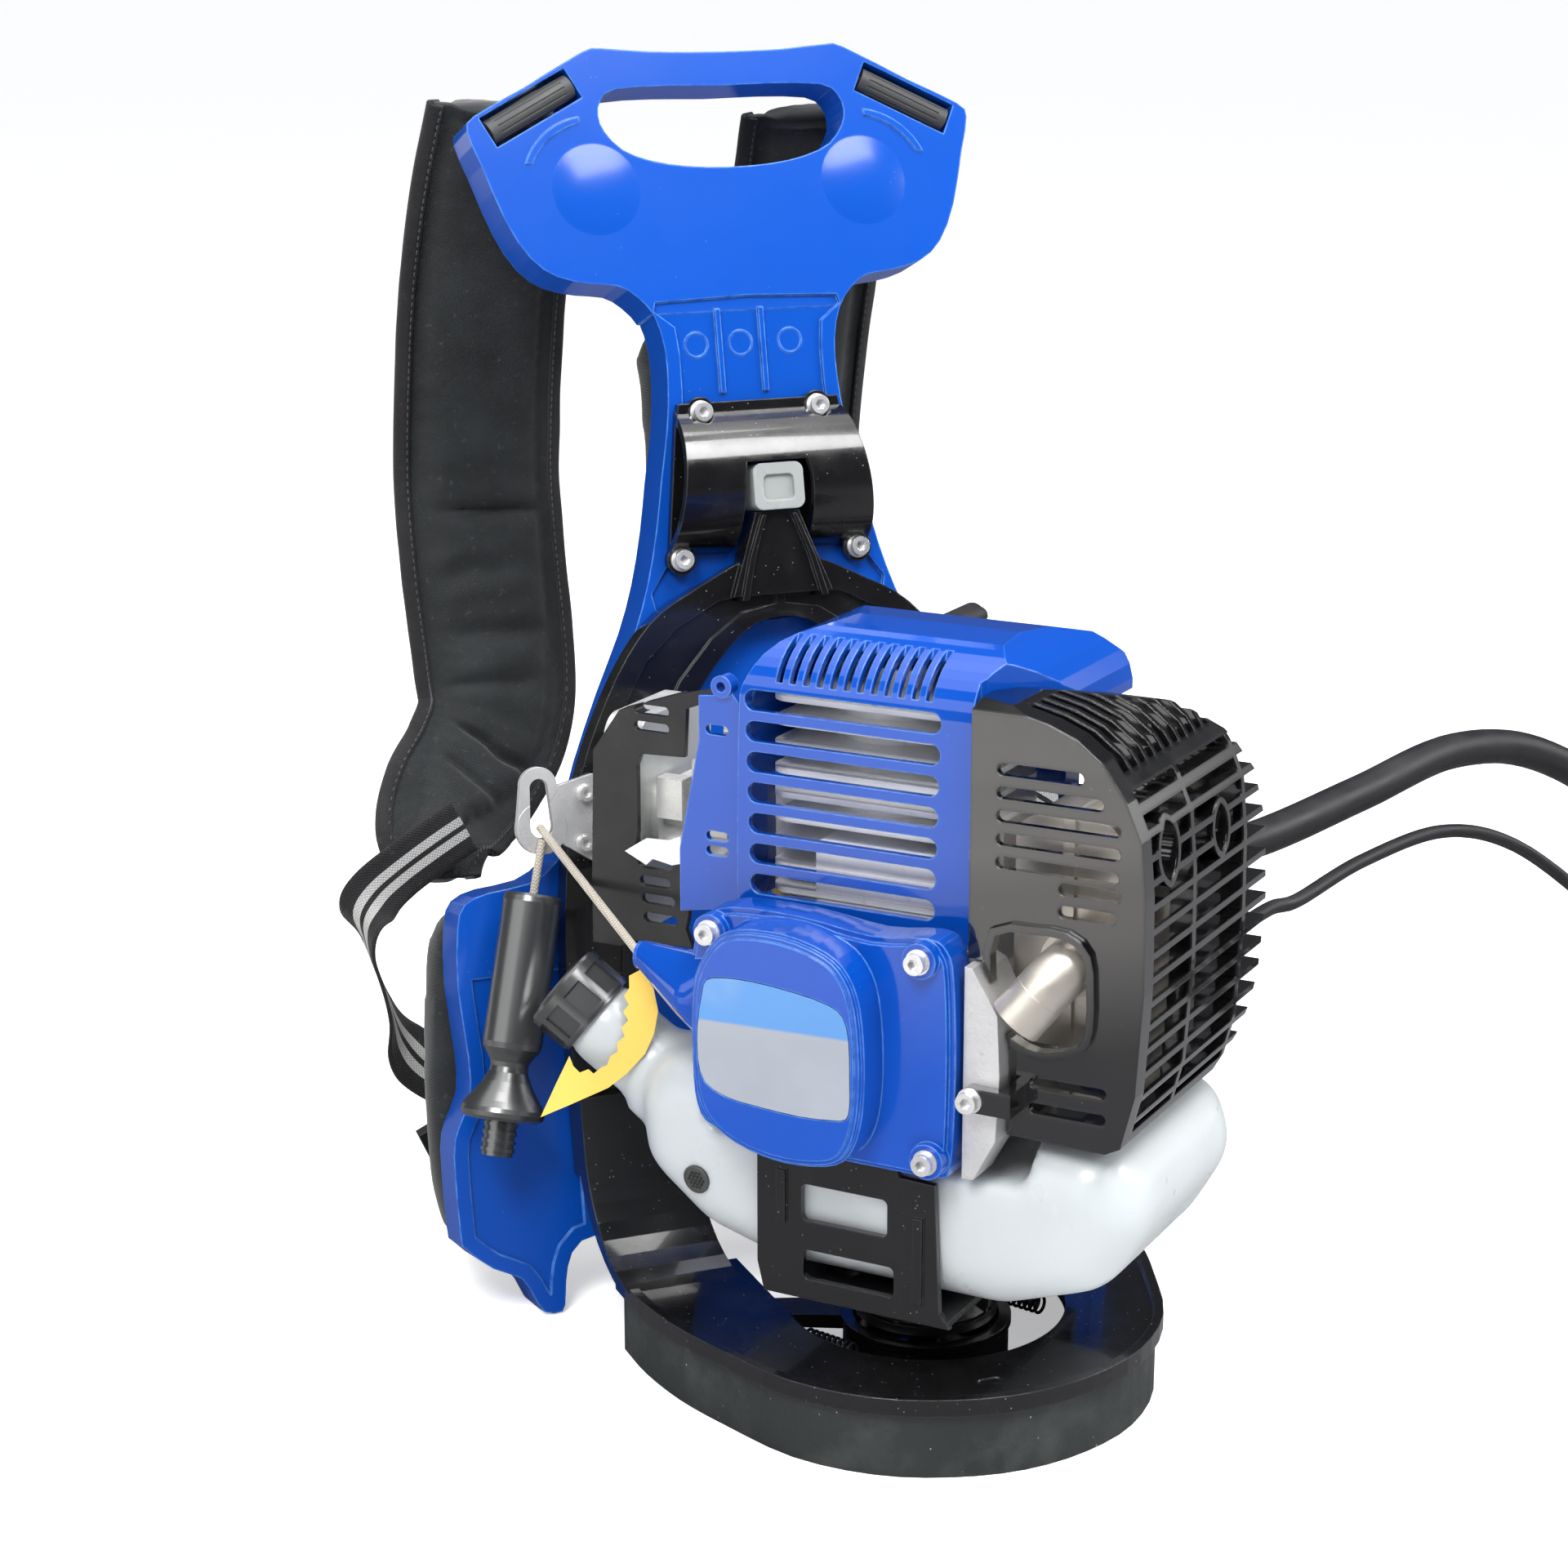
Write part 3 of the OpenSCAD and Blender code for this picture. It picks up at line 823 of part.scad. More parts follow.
module fuel_lines() color([0.75, 0.65, 0.3]) on_engine() {
    tube(path([[-77, 22, 140.8], [-77, 24, 150], [-78, 28, 170], [-82, 28, 190], [-86, 24.5, 206]], 3), 2.2, 8);
    tube(path([[-84, 34, 140.8], [-84, 37, 155], [-87, 36, 180], [-92, 30, 205], [-94, 24.5, 216]], 3), 2.2, 8);
}

// ---------- drive ----------
module clutch_housing() color([0.1, 0.1, 0.1]) on_engine() difference() {
    union() {
        translate([ex, 46.2, crank_z]) rotate([-90, 0, 0]) cylinder(r = 46, h = 22, $fn = 96);
        translate([ex, 68, crank_z]) rotate([-90, 0, 0]) cylinder(r1 = 45, r2 = 20, h = 26, $fn = 96);
        translate([ex, 90, crank_z]) rotate([-90, 0, 0]) cylinder(r = 16, h = 32);
        for (a = [45:90:359]) rotate([0, 0, 0]) translate([ex + 43 * cos(a), 46.2, crank_z + 43 * sin(a)]) rotate([-90, 0, 0]) cylinder(r = 7, h = 10);
    }
    translate([ex, 40, crank_z]) rotate([-90, 0, 0]) cylinder(r = 41, h = 27, $fn = 96);
    translate([ex, 60, crank_z]) rotate([-90, 0, 0]) cylinder(r = 8.05, h = 40);
    translate([ex, 95, crank_z]) rotate([-90, 0, 0]) cylinder(r = 5, h = 40);
}
module clutch_drum() color([0.5, 0.5, 0.5]) on_engine() translate([ex, 0, crank_z]) rotate([-90, 0, 0]) difference() {
    union() {
        translate([0, 0, 48]) cylinder(r = 37, h = 17, $fn = 96);
        translate([0, 0, 60]) cylinder(r = 8, h = 38);
    }
    translate([0, 0, 47]) cylinder(r = 34.5, h = 15, $fn = 96);
}
// point in the row's frame for a point given in the engine's
function eng(p) = [p[0] * cos(engine_yaw) - p[1] * sin(engine_yaw), p[0] * sin(engine_yaw) + p[1] * cos(engine_yaw), p[2]];
hose_pts = [eng([-16, 123.4, 166]), eng([-16, 150, 166]), [164, 131, 163], [243, 168, 155], [325, 205, 160], [400, 238, 166], [468, 260, 152], [534, 260, 112],
    [582, 232, 58], [602, 190, 20], [609, 150, 9.8], [588, 99, 9.8], [537, 78, 9.8], [489, 97, 9.8], [466, 125, 9.8], [465, 138, 9.8], [465, 151, 9.8]];
module drive_hose() color([0.06, 0.06, 0.07]) tube(path(hose_pts, 2), hose_d / 2, 12);
hose_end = [465, 151.1, 9.8];
module hose_connector() color("silver") translate(hose_end) rotate([-90, 0, 0]) difference() {
    union() {
        cylinder(d = 19, h = 34);
        translate([0, 0, 6]) cylinder(d = 19.4, h = 4);
        cylinder(d = 16, h = 42);
    }
    translate([0, 0, 27]) cylinder(r = 5, h = 20);
}
module cable_gland() color([0.05, 0.05, 0.05]) on_engine() difference() {
    union() {
        translate([30, 36.3, 121]) cube([12.6, 16, 18]);
        translate([36, 52, 130]) rotate([-90, 0, 0]) cylinder(r1 = 6.6, r2 = 5, h = 22);
    }
    translate([36, 40, 130]) rotate([-90, 0, 0]) cylinder(d = cable_d - 1, h = 60);
}
cable_pts = [eng([36, 74.3, 130]), eng([36, 90, 130]), [135, 66, 130], [182, 100, 129], [240, 145, 128], [262, 155, 127], [318, 188, 131], [385, 220, 130], [440, 236, 112],
    [492, 236, 74], [534, 222, 34], [576, 190, 13], [584, 150, 7.3]];
module throttle_cable() color([0.05, 0.05, 0.05]) tube(path(cable_pts, 2), cable_d / 2, 8);
coil_at = [537, 150, 0];
module cable_coil() color([0.05, 0.05, 0.05]) translate(coil_at) rotate_extrude($fn = 64) translate([29, 0.3]) square([14, 14]);
module cable_connector() color([0.1, 0.1, 0.1]) translate([496, 137, 14.6]) {
    translate([2, 0, 2]) cube([6, 4.2, 5]);
    translate([0, 4, 0]) cube([10, 22, 9]);
}

// ---------- starter rope and grip ----------
loop_w = [-117, 139.6, 208.5];
bush_w = eng([-97.6, -62, spout_z]);
module starter_rope() color([0.75, 0.7, 0.6]) tube(path([bush_w, bush_w + 0.5 * (loop_w - bush_w), loop_w], 2), rope_d / 2, 8);
grip_top = [-124, 129, 183];
grip_dir = unit([-23, -24, -86]);
grip_yaw = atan2(grip_dir[1], grip_dir[0]);
grip_tilt = acos(grip_dir[2]);
module at_grip() translate(grip_top) rotate([0, grip_tilt, grip_yaw]) rotate([0, 0, 0]) children();
grip_profile = [[0, 0], [0.86, 0], [0.97, 0.012], [1, 0.035], [1, 0.66], [0.97, 0.685], [0.8, 0.715], [0.66, 0.745], [0.63, 0.765], [0.66, 0.79],
    [0.8, 0.83], [1.02, 0.875], [1.24, 0.915], [1.38, 0.945], [1.42, 0.965], [1.38, 0.985], [1.2, 1], [0, 1]];
module starter_grip() color([0.03, 0.03, 0.03]) at_grip() difference() {
    union() {
        rotate_extrude($fn = 64) polygon([for (q = grip_profile) [q[0] * grip_d / 2, q[1] * (grip_len + 19)]]);
        translate([0, 0, grip_len + 18]) cylinder(d = 13, h = 16);
        for (i = [0:3]) translate([0, 0, grip_len + 20 + i * 3.5]) cylinder(d = 14.4, h = 1.6);
    }
    translate([0, 0, -1]) cylinder(d = rope_d + 1.2, h = 30);
}
module grip_rope() color([0.75, 0.7, 0.6]) tube(path([loop_w + [-1, -6.4, -3.5], [-120.5, 131.8, 196], grip_top + grip_dir * 6], 2), rope_d / 2, 8);

back_frame();
roller_left();
roller_right();
saddle_clamp();
saddle_block();
clamp_screws();
carrier_hoop();
base_skirt();
pivot_cup();
pivot_arm();
damper_springs();
rope_guide();
guide_screws();
back_pad();
strap_left();
strap_right();
webbing_left();
webbing_right();
strap_buckles();
pivot_hub();
tank_bracket();
fuel_tank();
filler_tag();
fuel_cap();
crankcase();
node_cylinder();  // cylinder
shroud();
intake_panel();
starter_cover();
starter_screws();
label_plate();
starter_rope();
starter_pulley();
flywheel();
muffler();
exhaust_deflector();
muffler_guard();
filter_plate();
filter_box();
carburettor();
intake_flange();
choke_lever();
throttle_lever();
primer_bulb();
plug_cap();
ignition_lead();
clutch_housing();
clutch_drum();
drive_hose();
hose_connector();
throttle_cable();
cable_coil();
cable_connector();
cable_gland();
fuel_lines();
starter_grip();
grip_rope();
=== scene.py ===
import bpy, bmesh, math
import numpy as np
from mathutils import Vector, Matrix, noise


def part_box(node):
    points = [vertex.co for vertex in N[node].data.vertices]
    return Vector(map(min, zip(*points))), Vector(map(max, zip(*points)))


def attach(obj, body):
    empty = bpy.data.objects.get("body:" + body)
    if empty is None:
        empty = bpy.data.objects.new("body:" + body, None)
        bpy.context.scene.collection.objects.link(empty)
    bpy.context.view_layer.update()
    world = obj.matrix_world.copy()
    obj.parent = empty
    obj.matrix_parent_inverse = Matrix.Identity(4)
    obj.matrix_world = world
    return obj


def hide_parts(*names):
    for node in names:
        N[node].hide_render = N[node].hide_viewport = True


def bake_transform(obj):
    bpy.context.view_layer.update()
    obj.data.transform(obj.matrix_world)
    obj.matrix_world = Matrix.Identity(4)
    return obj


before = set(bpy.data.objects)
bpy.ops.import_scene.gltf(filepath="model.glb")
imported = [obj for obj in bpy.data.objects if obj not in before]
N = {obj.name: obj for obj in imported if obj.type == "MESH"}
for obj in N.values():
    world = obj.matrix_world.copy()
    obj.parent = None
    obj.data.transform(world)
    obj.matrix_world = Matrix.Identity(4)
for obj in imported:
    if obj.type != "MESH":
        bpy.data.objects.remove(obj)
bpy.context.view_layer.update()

scene = bpy.context.scene
MM = 0.001

# ------------------------------------------------------------------ camera
cam_data = bpy.data.cameras.new("camera")
cam_data.sensor_width = 36
cam_data.lens = 75
cam_data.clip_end = 50
cam = bpy.data.objects.new("camera", cam_data)
scene.collection.objects.link(cam)
cam.location = (-0.51636, -1.12272, 0.59364)
look = Vector((0.36098, 0.89346, -0.26724)).normalized()
cam.rotation_euler = look.to_track_quat("-Z", "Y").to_euler()
scene.camera = cam


# ------------------------------------------------------------------ curves
def V(p):
    return Vector((float(p[0]), float(p[1]), float(p[2])))


def cr(a, b, c, d, t):
    return 0.5 * (2 * b + (c - a) * t + (2 * a - 5 * b + 4 * c - d) * t * t + (3 * b - a - 3 * c + d) * t ** 3)


def cpath(p, n=3):
    p = [V(q) for q in p]
    m = len(p)
    out = []
    for i in range(m - 1):
        for k in range(n):
            out.append(cr(p[max(i - 1, 0)], p[i], p[i + 1], p[min(i + 2, m - 1)], k / n))
    out.append(p[-1].copy())
    return out


def resample(pts, step):
    """Points at equal steps along a polyline."""
    pts = [V(p) for p in pts]
    d = [0.0]
    for a, b in zip(pts, pts[1:]):
        d.append(d[-1] + (b - a).length)
    n = max(2, int(round(d[-1] / step)))
    out = []
    j = 0
    for i in range(n + 1):
        s = d[-1] * i / n
        while j < len(d) - 2 and d[j + 1] < s:
            j += 1
        t = (s - d[j]) / max(1e-9, d[j + 1] - d[j])
        out.append(pts[j].lerp(pts[j + 1], min(1.0, max(0.0, t))))
    return out


ENGINE_YAW = -50


def eng(p):
    a = math.radians(ENGINE_YAW)
    return Vector((p[0] * math.cos(a) - p[1] * math.sin(a), p[0] * math.sin(a) + p[1] * math.cos(a), p[2]))


def eng_dir(p):
    return eng(p)


def curve_obj(name, pts, r, mat, res=6):
    """Round curve through the points, in millimetres."""
    cu = bpy.data.curves.new(name, "CURVE")
    cu.dimensions = "3D"
    cu.bevel_depth = r * MM
    cu.bevel_resolution = res
    cu.use_fill_caps = True
    sp = cu.splines.new("POLY")
    sp.points.add(len(pts) - 1)
    for q, p in zip(sp.points, pts):
        q.co = (p[0] * MM, p[1] * MM, p[2] * MM, 1)
    sp.use_smooth = True
    ob = bpy.data.objects.new(name, cu)
    scene.collection.objects.link(ob)
    cu.materials.append(mat)
    return ob


def mesh_obj(name, verts, faces, mat, smooth=True, uvs=None):
    me = bpy.data.meshes.new(name)
    me.from_pydata([tuple(c * MM for c in v) for v in verts], [], faces)
    me.update()
    if smooth:
        me.polygons.foreach_set("use_smooth", [True] * len(me.polygons))
    if uvs is not None:
        lay = me.uv_layers.new(name="UVMap")
        for poly in me.polygons:
            for li in poly.loop_indices:
                lay.data[li].uv = uvs[me.loops[li].vertex_index]
    for m in (mat if isinstance(mat, (list, tuple)) else [mat]):
        me.materials.append(m)
    ob = bpy.data.objects.new(name, me)
    scene.collection.objects.link(ob)
    return ob


# ------------------------------------------------------------------ materials
def new_mat(name):
    m = bpy.data.materials.new(name)
    m.use_nodes = True
    t = m.node_tree
    b = t.nodes["Principled BSDF"]
    return m, t, b


def nd(t, kind, **kw):
    n = t.nodes.new(kind)
    for k, v in kw.items():
        setattr(n, k, v)
    return n


def noise_tex(t, co, scale, detail=3, rough=0.5, dist=0.0):
    n = nd(t, "ShaderNodeTexNoise")
    n.inputs["Scale"].default_value = scale
    n.inputs["Detail"].default_value = detail
    n.inputs["Roughness"].default_value = rough
    n.inputs["Distortion"].default_value = dist
    t.links.new(co, n.inputs["Vector"])
    return n.outputs["Fac"]


def ramp(t, fac, stops):
    r = nd(t, "ShaderNodeValToRGB")
    el = r.color_ramp.elements
    while len(el) < len(stops):
        el.new(0.5)
    for e, (p, c) in zip(el, stops):
        e.position = p
        e.color = c if len(c) == 4 else (*c, 1)
    t.links.new(fac, r.inputs["Fac"])
    return r.outputs["Color"]


def g(v):
    return (v, v, v, 1)


def mixc(t, fac, a, b, mode="MIX"):
    n = nd(t, "ShaderNodeMix", data_type="RGBA", blend_type=mode)
    for sock, val in ((n.inputs[0], fac), (n.inputs[6], a), (n.inputs[7], b)):
        if hasattr(val, "is_output"):
            t.links.new(val, sock)
        else:
            sock.default_value = val if not isinstance(val, tuple) or len(val) == 4 else (*val, 1)
    return n.outputs[2]


def math_n(t, op, a, b=0.0, clamp=False):
    n = nd(t, "ShaderNodeMath", operation=op)
    n.use_clamp = clamp
    for i, v in enumerate((a, b)):
        if hasattr(v, "is_output"):
            t.links.new(v, n.inputs[i])
        else:
            n.inputs[i].default_value = v
    return n.outputs[0]


def maprange(t, v, a, b, c, d):
    n = nd(t, "ShaderNodeMapRange")
    n.clamp = True
    t.links.new(v, n.inputs[0])
    for i, x in enumerate((a, b, c, d)):
        n.inputs[i + 1].default_value = x
    return n.outputs[0]


def scaled(t, co, s):
    n = nd(t, "ShaderNodeMapping")
    n.inputs["Scale"].default_value = s
    t.links.new(co, n.inputs["Vector"])
    return n.outputs["Vector"]


def surface(name, col, rough=0.35, metal=0.0, coat=0.0, coat_rough=0.08, vary=0.12, grain=900, bump=0.03,
            specks=0.0, speck_col=(0.6, 0.6, 0.6), dust=0.0, dust_col=(0.35, 0.33, 0.3), edge_wear_and_highlight=0.0, edge_wear_and_highlight_col=None,
            bevel=0.0, rough_var=0.12, scratches=0.0, spec=0.5, ior=1.5, up_dust=0.0, speck_scale=210, speck_from=0.56, coat_ior=1.5):
    """Solid material: colour that wanders a little, grain, specks of dust, scuffs, and edges lightened in patches, on
    some materials as wear and on others as a painted edge highlight.
    """
    m, t, b = new_mat(name)
    co = nd(t, "ShaderNodeTexCoord").outputs["Object"]
    big = noise_tex(t, co, 14, 3, 0.55)
    c = mixc(t, big, tuple(x * (1 - vary) for x in col), tuple(min(1, x * (1 + vary)) for x in col))
    bev = None
    if bevel or edge_wear_and_highlight:
        bev = nd(t, "ShaderNodeBevel")
        bev.samples = 4
        bev.inputs["Radius"].default_value = (bevel or 0.5) * MM
    geo = nd(t, "ShaderNodeNewGeometry")
    # edges lightened in patches: a painted edge highlight on the blue and gloss black mouldings, wear on the other
    # materials
    if edge_wear_and_highlight:
        dot = nd(t, "ShaderNodeVectorMath", operation="DOT_PRODUCT")
        t.links.new(bev.outputs[0], dot.inputs[0])
        t.links.new(geo.outputs["Normal"], dot.inputs[1])
        e = maprange(t, dot.outputs["Value"], 0.995, 0.80, 0.0, edge_wear_and_highlight)
        edge_breakup = noise_tex(t, co, 160, 4, 0.6)
        e = math_n(t, "MULTIPLY", e, maprange(t, edge_breakup, 0.35, 0.6, 0.35, 1.0))
        c = mixc(t, e, c, edge_wear_and_highlight_col or tuple(min(1, x * 2 + 0.05) for x in col))
    if dust:
        d = noise_tex(t, co, 38, 5, 0.65)
        c = mixc(t, maprange(t, d, 0.48, 0.75, 0.0, dust), c, dust_col)
    if up_dust:
        sep = nd(t, "ShaderNodeSeparateXYZ")
        t.links.new(geo.outputs["Normal"], sep.inputs[0])
        d = math_n(t, "MULTIPLY", maprange(t, sep.outputs[2], 0.3, 1.0, 0.0, up_dust), maprange(t, noise_tex(t, co, 55, 5, 0.7), 0.35, 0.65, 0.1, 1.0))
        c = mixc(t, d, c, dust_col)
    if specks:
        vo = nd(t, "ShaderNodeTexVoronoi")
        vo.inputs["Scale"].default_value = speck_scale
        vo.inputs["Randomness"].default_value = 1.0
        t.links.new(co, vo.inputs["Vector"])
        s = maprange(t, vo.outputs["Distance"], 0.10, 0.05, 0.0, 1.0)
        pick = maprange(t, noise_tex(t, co, 70, 2, 0.5), speck_from, speck_from + 0.04, 0.0, specks)
        c = mixc(t, math_n(t, "MULTIPLY", s, pick), c, speck_col)
    t.links.new(c, b.inputs["Base Color"])
    r = noise_tex(t, co, 45, 4, 0.6)
    r = maprange(t, r, 0.3, 0.7, max(0.02, rough - rough_var), min(1, rough + rough_var))
    if scratches:
        sc = noise_tex(t, scaled(t, co, (40, 900, 300)), 1.0, 3, 0.6)
        r = math_n(t, "ADD", r, maprange(t, sc, 0.58, 0.72, 0.0, scratches))
    t.links.new(r, b.inputs["Roughness"])
    b.inputs["Metallic"].default_value = metal
    b.inputs["Coat Weight"].default_value = coat
    b.inputs["Coat Roughness"].default_value = coat_rough
    b.inputs["IOR"].default_value = ior
    b.inputs["Specular IOR Level"].default_value = spec
    b.inputs["Coat IOR"].default_value = coat_ior
    bp = nd(t, "ShaderNodeBump")
    bp.inputs["Strength"].default_value = bump
    bp.inputs["Distance"].default_value = 0.0006
    t.links.new(noise_tex(t, co, grain, 3, 0.55), bp.inputs["Height"])
    if bev is not None and bevel:
        t.links.new(bev.outputs[0], bp.inputs["Normal"])
    t.links.new(bp.outputs[0], b.inputs["Normal"])
    return m


def cast_metal(name, col, rough=0.38, bump=0.35, grain=420, dark=0.25, bevel=0.5, metal=1.0):
    m, t, b = new_mat(name)
    co = nd(t, "ShaderNodeTexCoord").outputs["Object"]
    n1 = noise_tex(t, co, 26, 5, 0.6)
    c = mixc(t, maprange(t, n1, 0.35, 0.7, 0.0, 1.0), tuple(x * (1 - dark) for x in col), col)
    spots = noise_tex(t, co, 190, 4, 0.7)
    c = mixc(t, maprange(t, spots, 0.6, 0.75, 0.0, 0.35), c, tuple(x * 0.45 for x in col))
    t.links.new(c, b.inputs["Base Color"])
    b.inputs["Metallic"].default_value = metal
    t.links.new(maprange(t, noise_tex(t, co, 60, 4, 0.6), 0.3, 0.7, rough - 0.1, rough + 0.14), b.inputs["Roughness"])
    bev = nd(t, "ShaderNodeBevel")
    bev.samples = 4
    bev.inputs["Radius"].default_value = bevel * MM
    bp = nd(t, "ShaderNodeBump")
    bp.inputs["Strength"].default_value = bump
    bp.inputs["Distance"].default_value = 0.0005
    t.links.new(noise_tex(t, co, grain, 4, 0.6), bp.inputs["Height"])
    t.links.new(bev.outputs[0], bp.inputs["Normal"])
    t.links.new(bp.outputs[0], b.inputs["Normal"])
    return m


def weave(name, col, pitch=1.0, bump=0.6, sheen=0.35, rough=0.85, stripes=None, fuzz=0.2, ribs=None):
    """Woven cloth on the piece's own UV, in millimetres: u along it, v across it."""
    m, t, b = new_mat(name)
    uv = nd(t, "ShaderNodeTexCoord").outputs["UV"]
    obj = nd(t, "ShaderNodeTexCoord").outputs["Object"]
    sep = nd(t, "ShaderNodeSeparateXYZ")
    t.links.new(uv, sep.inputs[0])
    u, v = sep.outputs[0], sep.outputs[1]
    k = 2 * math.pi / pitch
    su = math_n(t, "SINE", math_n(t, "MULTIPLY", u, k))
    sv = math_n(t, "SINE", math_n(t, "MULTIPLY", v, k))
    w = math_n(t, "MULTIPLY", su, sv)
    w = math_n(t, "ADD", math_n(t, "MULTIPLY", w, 0.5), 0.5)
    c = mixc(t, w, tuple(x * 0.55 for x in col), tuple(min(1, x * 1.45) for x in col))
    c = mixc(t, maprange(t, noise_tex(t, obj, 30, 5, 0.6), 0.4, 0.75, 0.0, 0.5), c, tuple(min(1, x * 2.0 + 0.01) for x in col))
    if stripes:
        width, scol = stripes
        for at in width:
            lo, hi = at
            s = math_n(t, "MULTIPLY", math_n(t, "GREATER_THAN", v, lo), math_n(t, "LESS_THAN", v, hi))
            tex = mixc(t, w, tuple(x * 0.7 for x in scol), scol)
            c = mixc(t, s, c, tex)
    if fuzz:
        f = noise_tex(t, obj, 260, 3, 0.7)
        c = mixc(t, maprange(t, f, 0.62, 0.72, 0.0, fuzz), c, (0.25, 0.25, 0.26))
    t.links.new(c, b.inputs["Base Color"])
    b.inputs["Roughness"].default_value = rough
    b.inputs["Sheen Weight"].default_value = sheen
    b.inputs["Sheen Roughness"].default_value = 0.45
    b.inputs["Specular IOR Level"].default_value = 0.25
    bp = nd(t, "ShaderNodeBump")
    bp.inputs["Strength"].default_value = bump
    bp.inputs["Distance"].default_value = 0.0004
    h = math_n(t, "ADD", w, math_n(t, "MULTIPLY", noise_tex(t, obj, 90, 4, 0.6), 1.2))
    t.links.new(h, bp.inputs["Height"])
    t.links.new(bp.outputs[0], b.inputs["Normal"])
    return m


# on both blue mouldings the lighter blue along the edges is a painted edge highlight
BLUE = (0.002, 0.055, 0.34)
blue = surface("blue_moulding", BLUE, rough=0.20, coat=0.2, coat_rough=0.12, spec=0.3, vary=0.05, grain=700, bump=0.02,
               edge_wear_and_highlight=0.85, edge_wear_and_highlight_col=(0.16, 0.42, 0.95), bevel=1.1, rough_var=0.015, specks=0.12, speck_col=(0.3, 0.4, 0.7))
blue_engine = surface("blue_cover", (0.002, 0.056, 0.36), rough=0.13, coat=0.7, coat_rough=0.04, spec=0.35, vary=0.04, grain=700, bump=0.02,
                      edge_wear_and_highlight=0.85, edge_wear_and_highlight_col=(0.16, 0.42, 0.95), bevel=1.0, rough_var=0.015, specks=0.1, speck_col=(0.3, 0.4, 0.7))
# the lighter grey along the gloss black edges is a painted rim highlight, broken into patches by noise
black_gloss = surface("black_gloss", (0.0045, 0.0045, 0.005), rough=0.19, coat=0.6, coat_rough=0.06, vary=0.25, grain=500, bump=0.05,
                      edge_wear_and_highlight=0.3, edge_wear_and_highlight_col=(0.14, 0.14, 0.145), bevel=0.9, speck_scale=300, speck_from=0.47, specks=0.9, speck_col=(0.22, 0.21, 0.2), dust=0.04, dust_col=(0.05, 0.05, 0.05),
                      up_dust=0.05)
guard_mat = surface("guard_gloss", (0.0035, 0.0035, 0.004), rough=0.13, rough_var=0.05, coat=1.0, coat_rough=0.03, coat_ior=1.7, vary=0.25, grain=350, bump=0.02,
                    bevel=1.6, specks=0.25, speck_col=(0.2, 0.19, 0.18))
black_satin = surface("black_satin", (0.0075, 0.0075, 0.008), rough=0.36, vary=0.25, grain=900, bump=0.12, coat=0.15,
                      edge_wear_and_highlight=0.18, edge_wear_and_highlight_col=(0.05, 0.05, 0.053), bevel=0.6, specks=0.3, speck_col=(0.2, 0.19, 0.18), dust=0.04, dust_col=(0.06, 0.06, 0.06))
skirt_mat = surface("skirt_plastic", (0.022, 0.026, 0.0255), rough=0.42, vary=0.3, grain=420, bump=0.22,
                    edge_wear_and_highlight=0.4, edge_wear_and_highlight_col=(0.13, 0.14, 0.14), bevel=0.8, specks=0.8, speck_col=(0.42, 0.4, 0.37), dust=0.3,
                    dust_col=(0.09, 0.10, 0.095), scratches=0.25)
roller_mat = surface("roller_grey", (0.032, 0.033, 0.034), rough=0.5, vary=0.2, grain=900, bump=0.15, edge_wear_and_highlight=0.3, edge_wear_and_highlight_col=(0.1, 0.1, 0.1), bevel=0.5)
grip_mat = surface("grip_plastic", (0.022, 0.0235, 0.024), rough=0.34, rough_var=0.03, vary=0.12, grain=1400, bump=0.04, coat=0.8, coat_rough=0.25, coat_ior=2.0, spec=0.6)
rubber = surface("rubber", (0.010, 0.010, 0.012), rough=0.45, vary=0.2, grain=1200, bump=0.12, specks=0.3,
                 speck_col=(0.15, 0.15, 0.15), dust=0.08, dust_col=(0.05, 0.05, 0.05))
steel = cast_metal("bright_steel", (0.86, 0.86, 0.86), rough=0.26, bump=0.06, grain=900, dark=0.1, bevel=0.3, metal=0.8)
cast = cast_metal("cast_aluminium", (0.80, 0.80, 0.80), rough=0.42, bump=0.35, dark=0.15, metal=0.75)
fins_mat = cast_metal("cylinder_fins", (0.95, 0.95, 0.94), rough=0.45, bump=0.3, dark=0.10, metal=0.3)
dark_steel = cast_metal("heated_steel", (0.74, 0.69, 0.62), rough=0.36, bump=0.12, dark=0.2, metal=0.75)
brass = cast_metal("brass", (0.75, 0.55, 0.22), rough=0.3, bump=0.08, dark=0.2)
white_lever = surface("white_lever", (0.75, 0.76, 0.74), rough=0.4, vary=0.06, bump=0.05, bevel=0.4, dust=0.1)
zinc = cast_metal("zinc_plate", (0.66, 0.66, 0.67), rough=0.28, bump=0.1, grain=700, dark=0.25, bevel=0.4, metal=0.55)
vent_mat = surface("vent_grey", (0.05, 0.055, 0.05), rough=0.5, vary=0.2, bump=0.1)
carb_mat = cast_metal("carburettor_metal", (0.66, 0.67, 0.65), rough=0.36, bump=0.25, dark=0.12, metal=0.6)
spring_mat = surface("spring_black", (0.02, 0.02, 0.022), rough=0.25, coat=0.3, vary=0.2, bump=0.03)
amber = surface("amber_line", (0.62, 0.42, 0.10), rough=0.3, vary=0.15, bump=0.04)


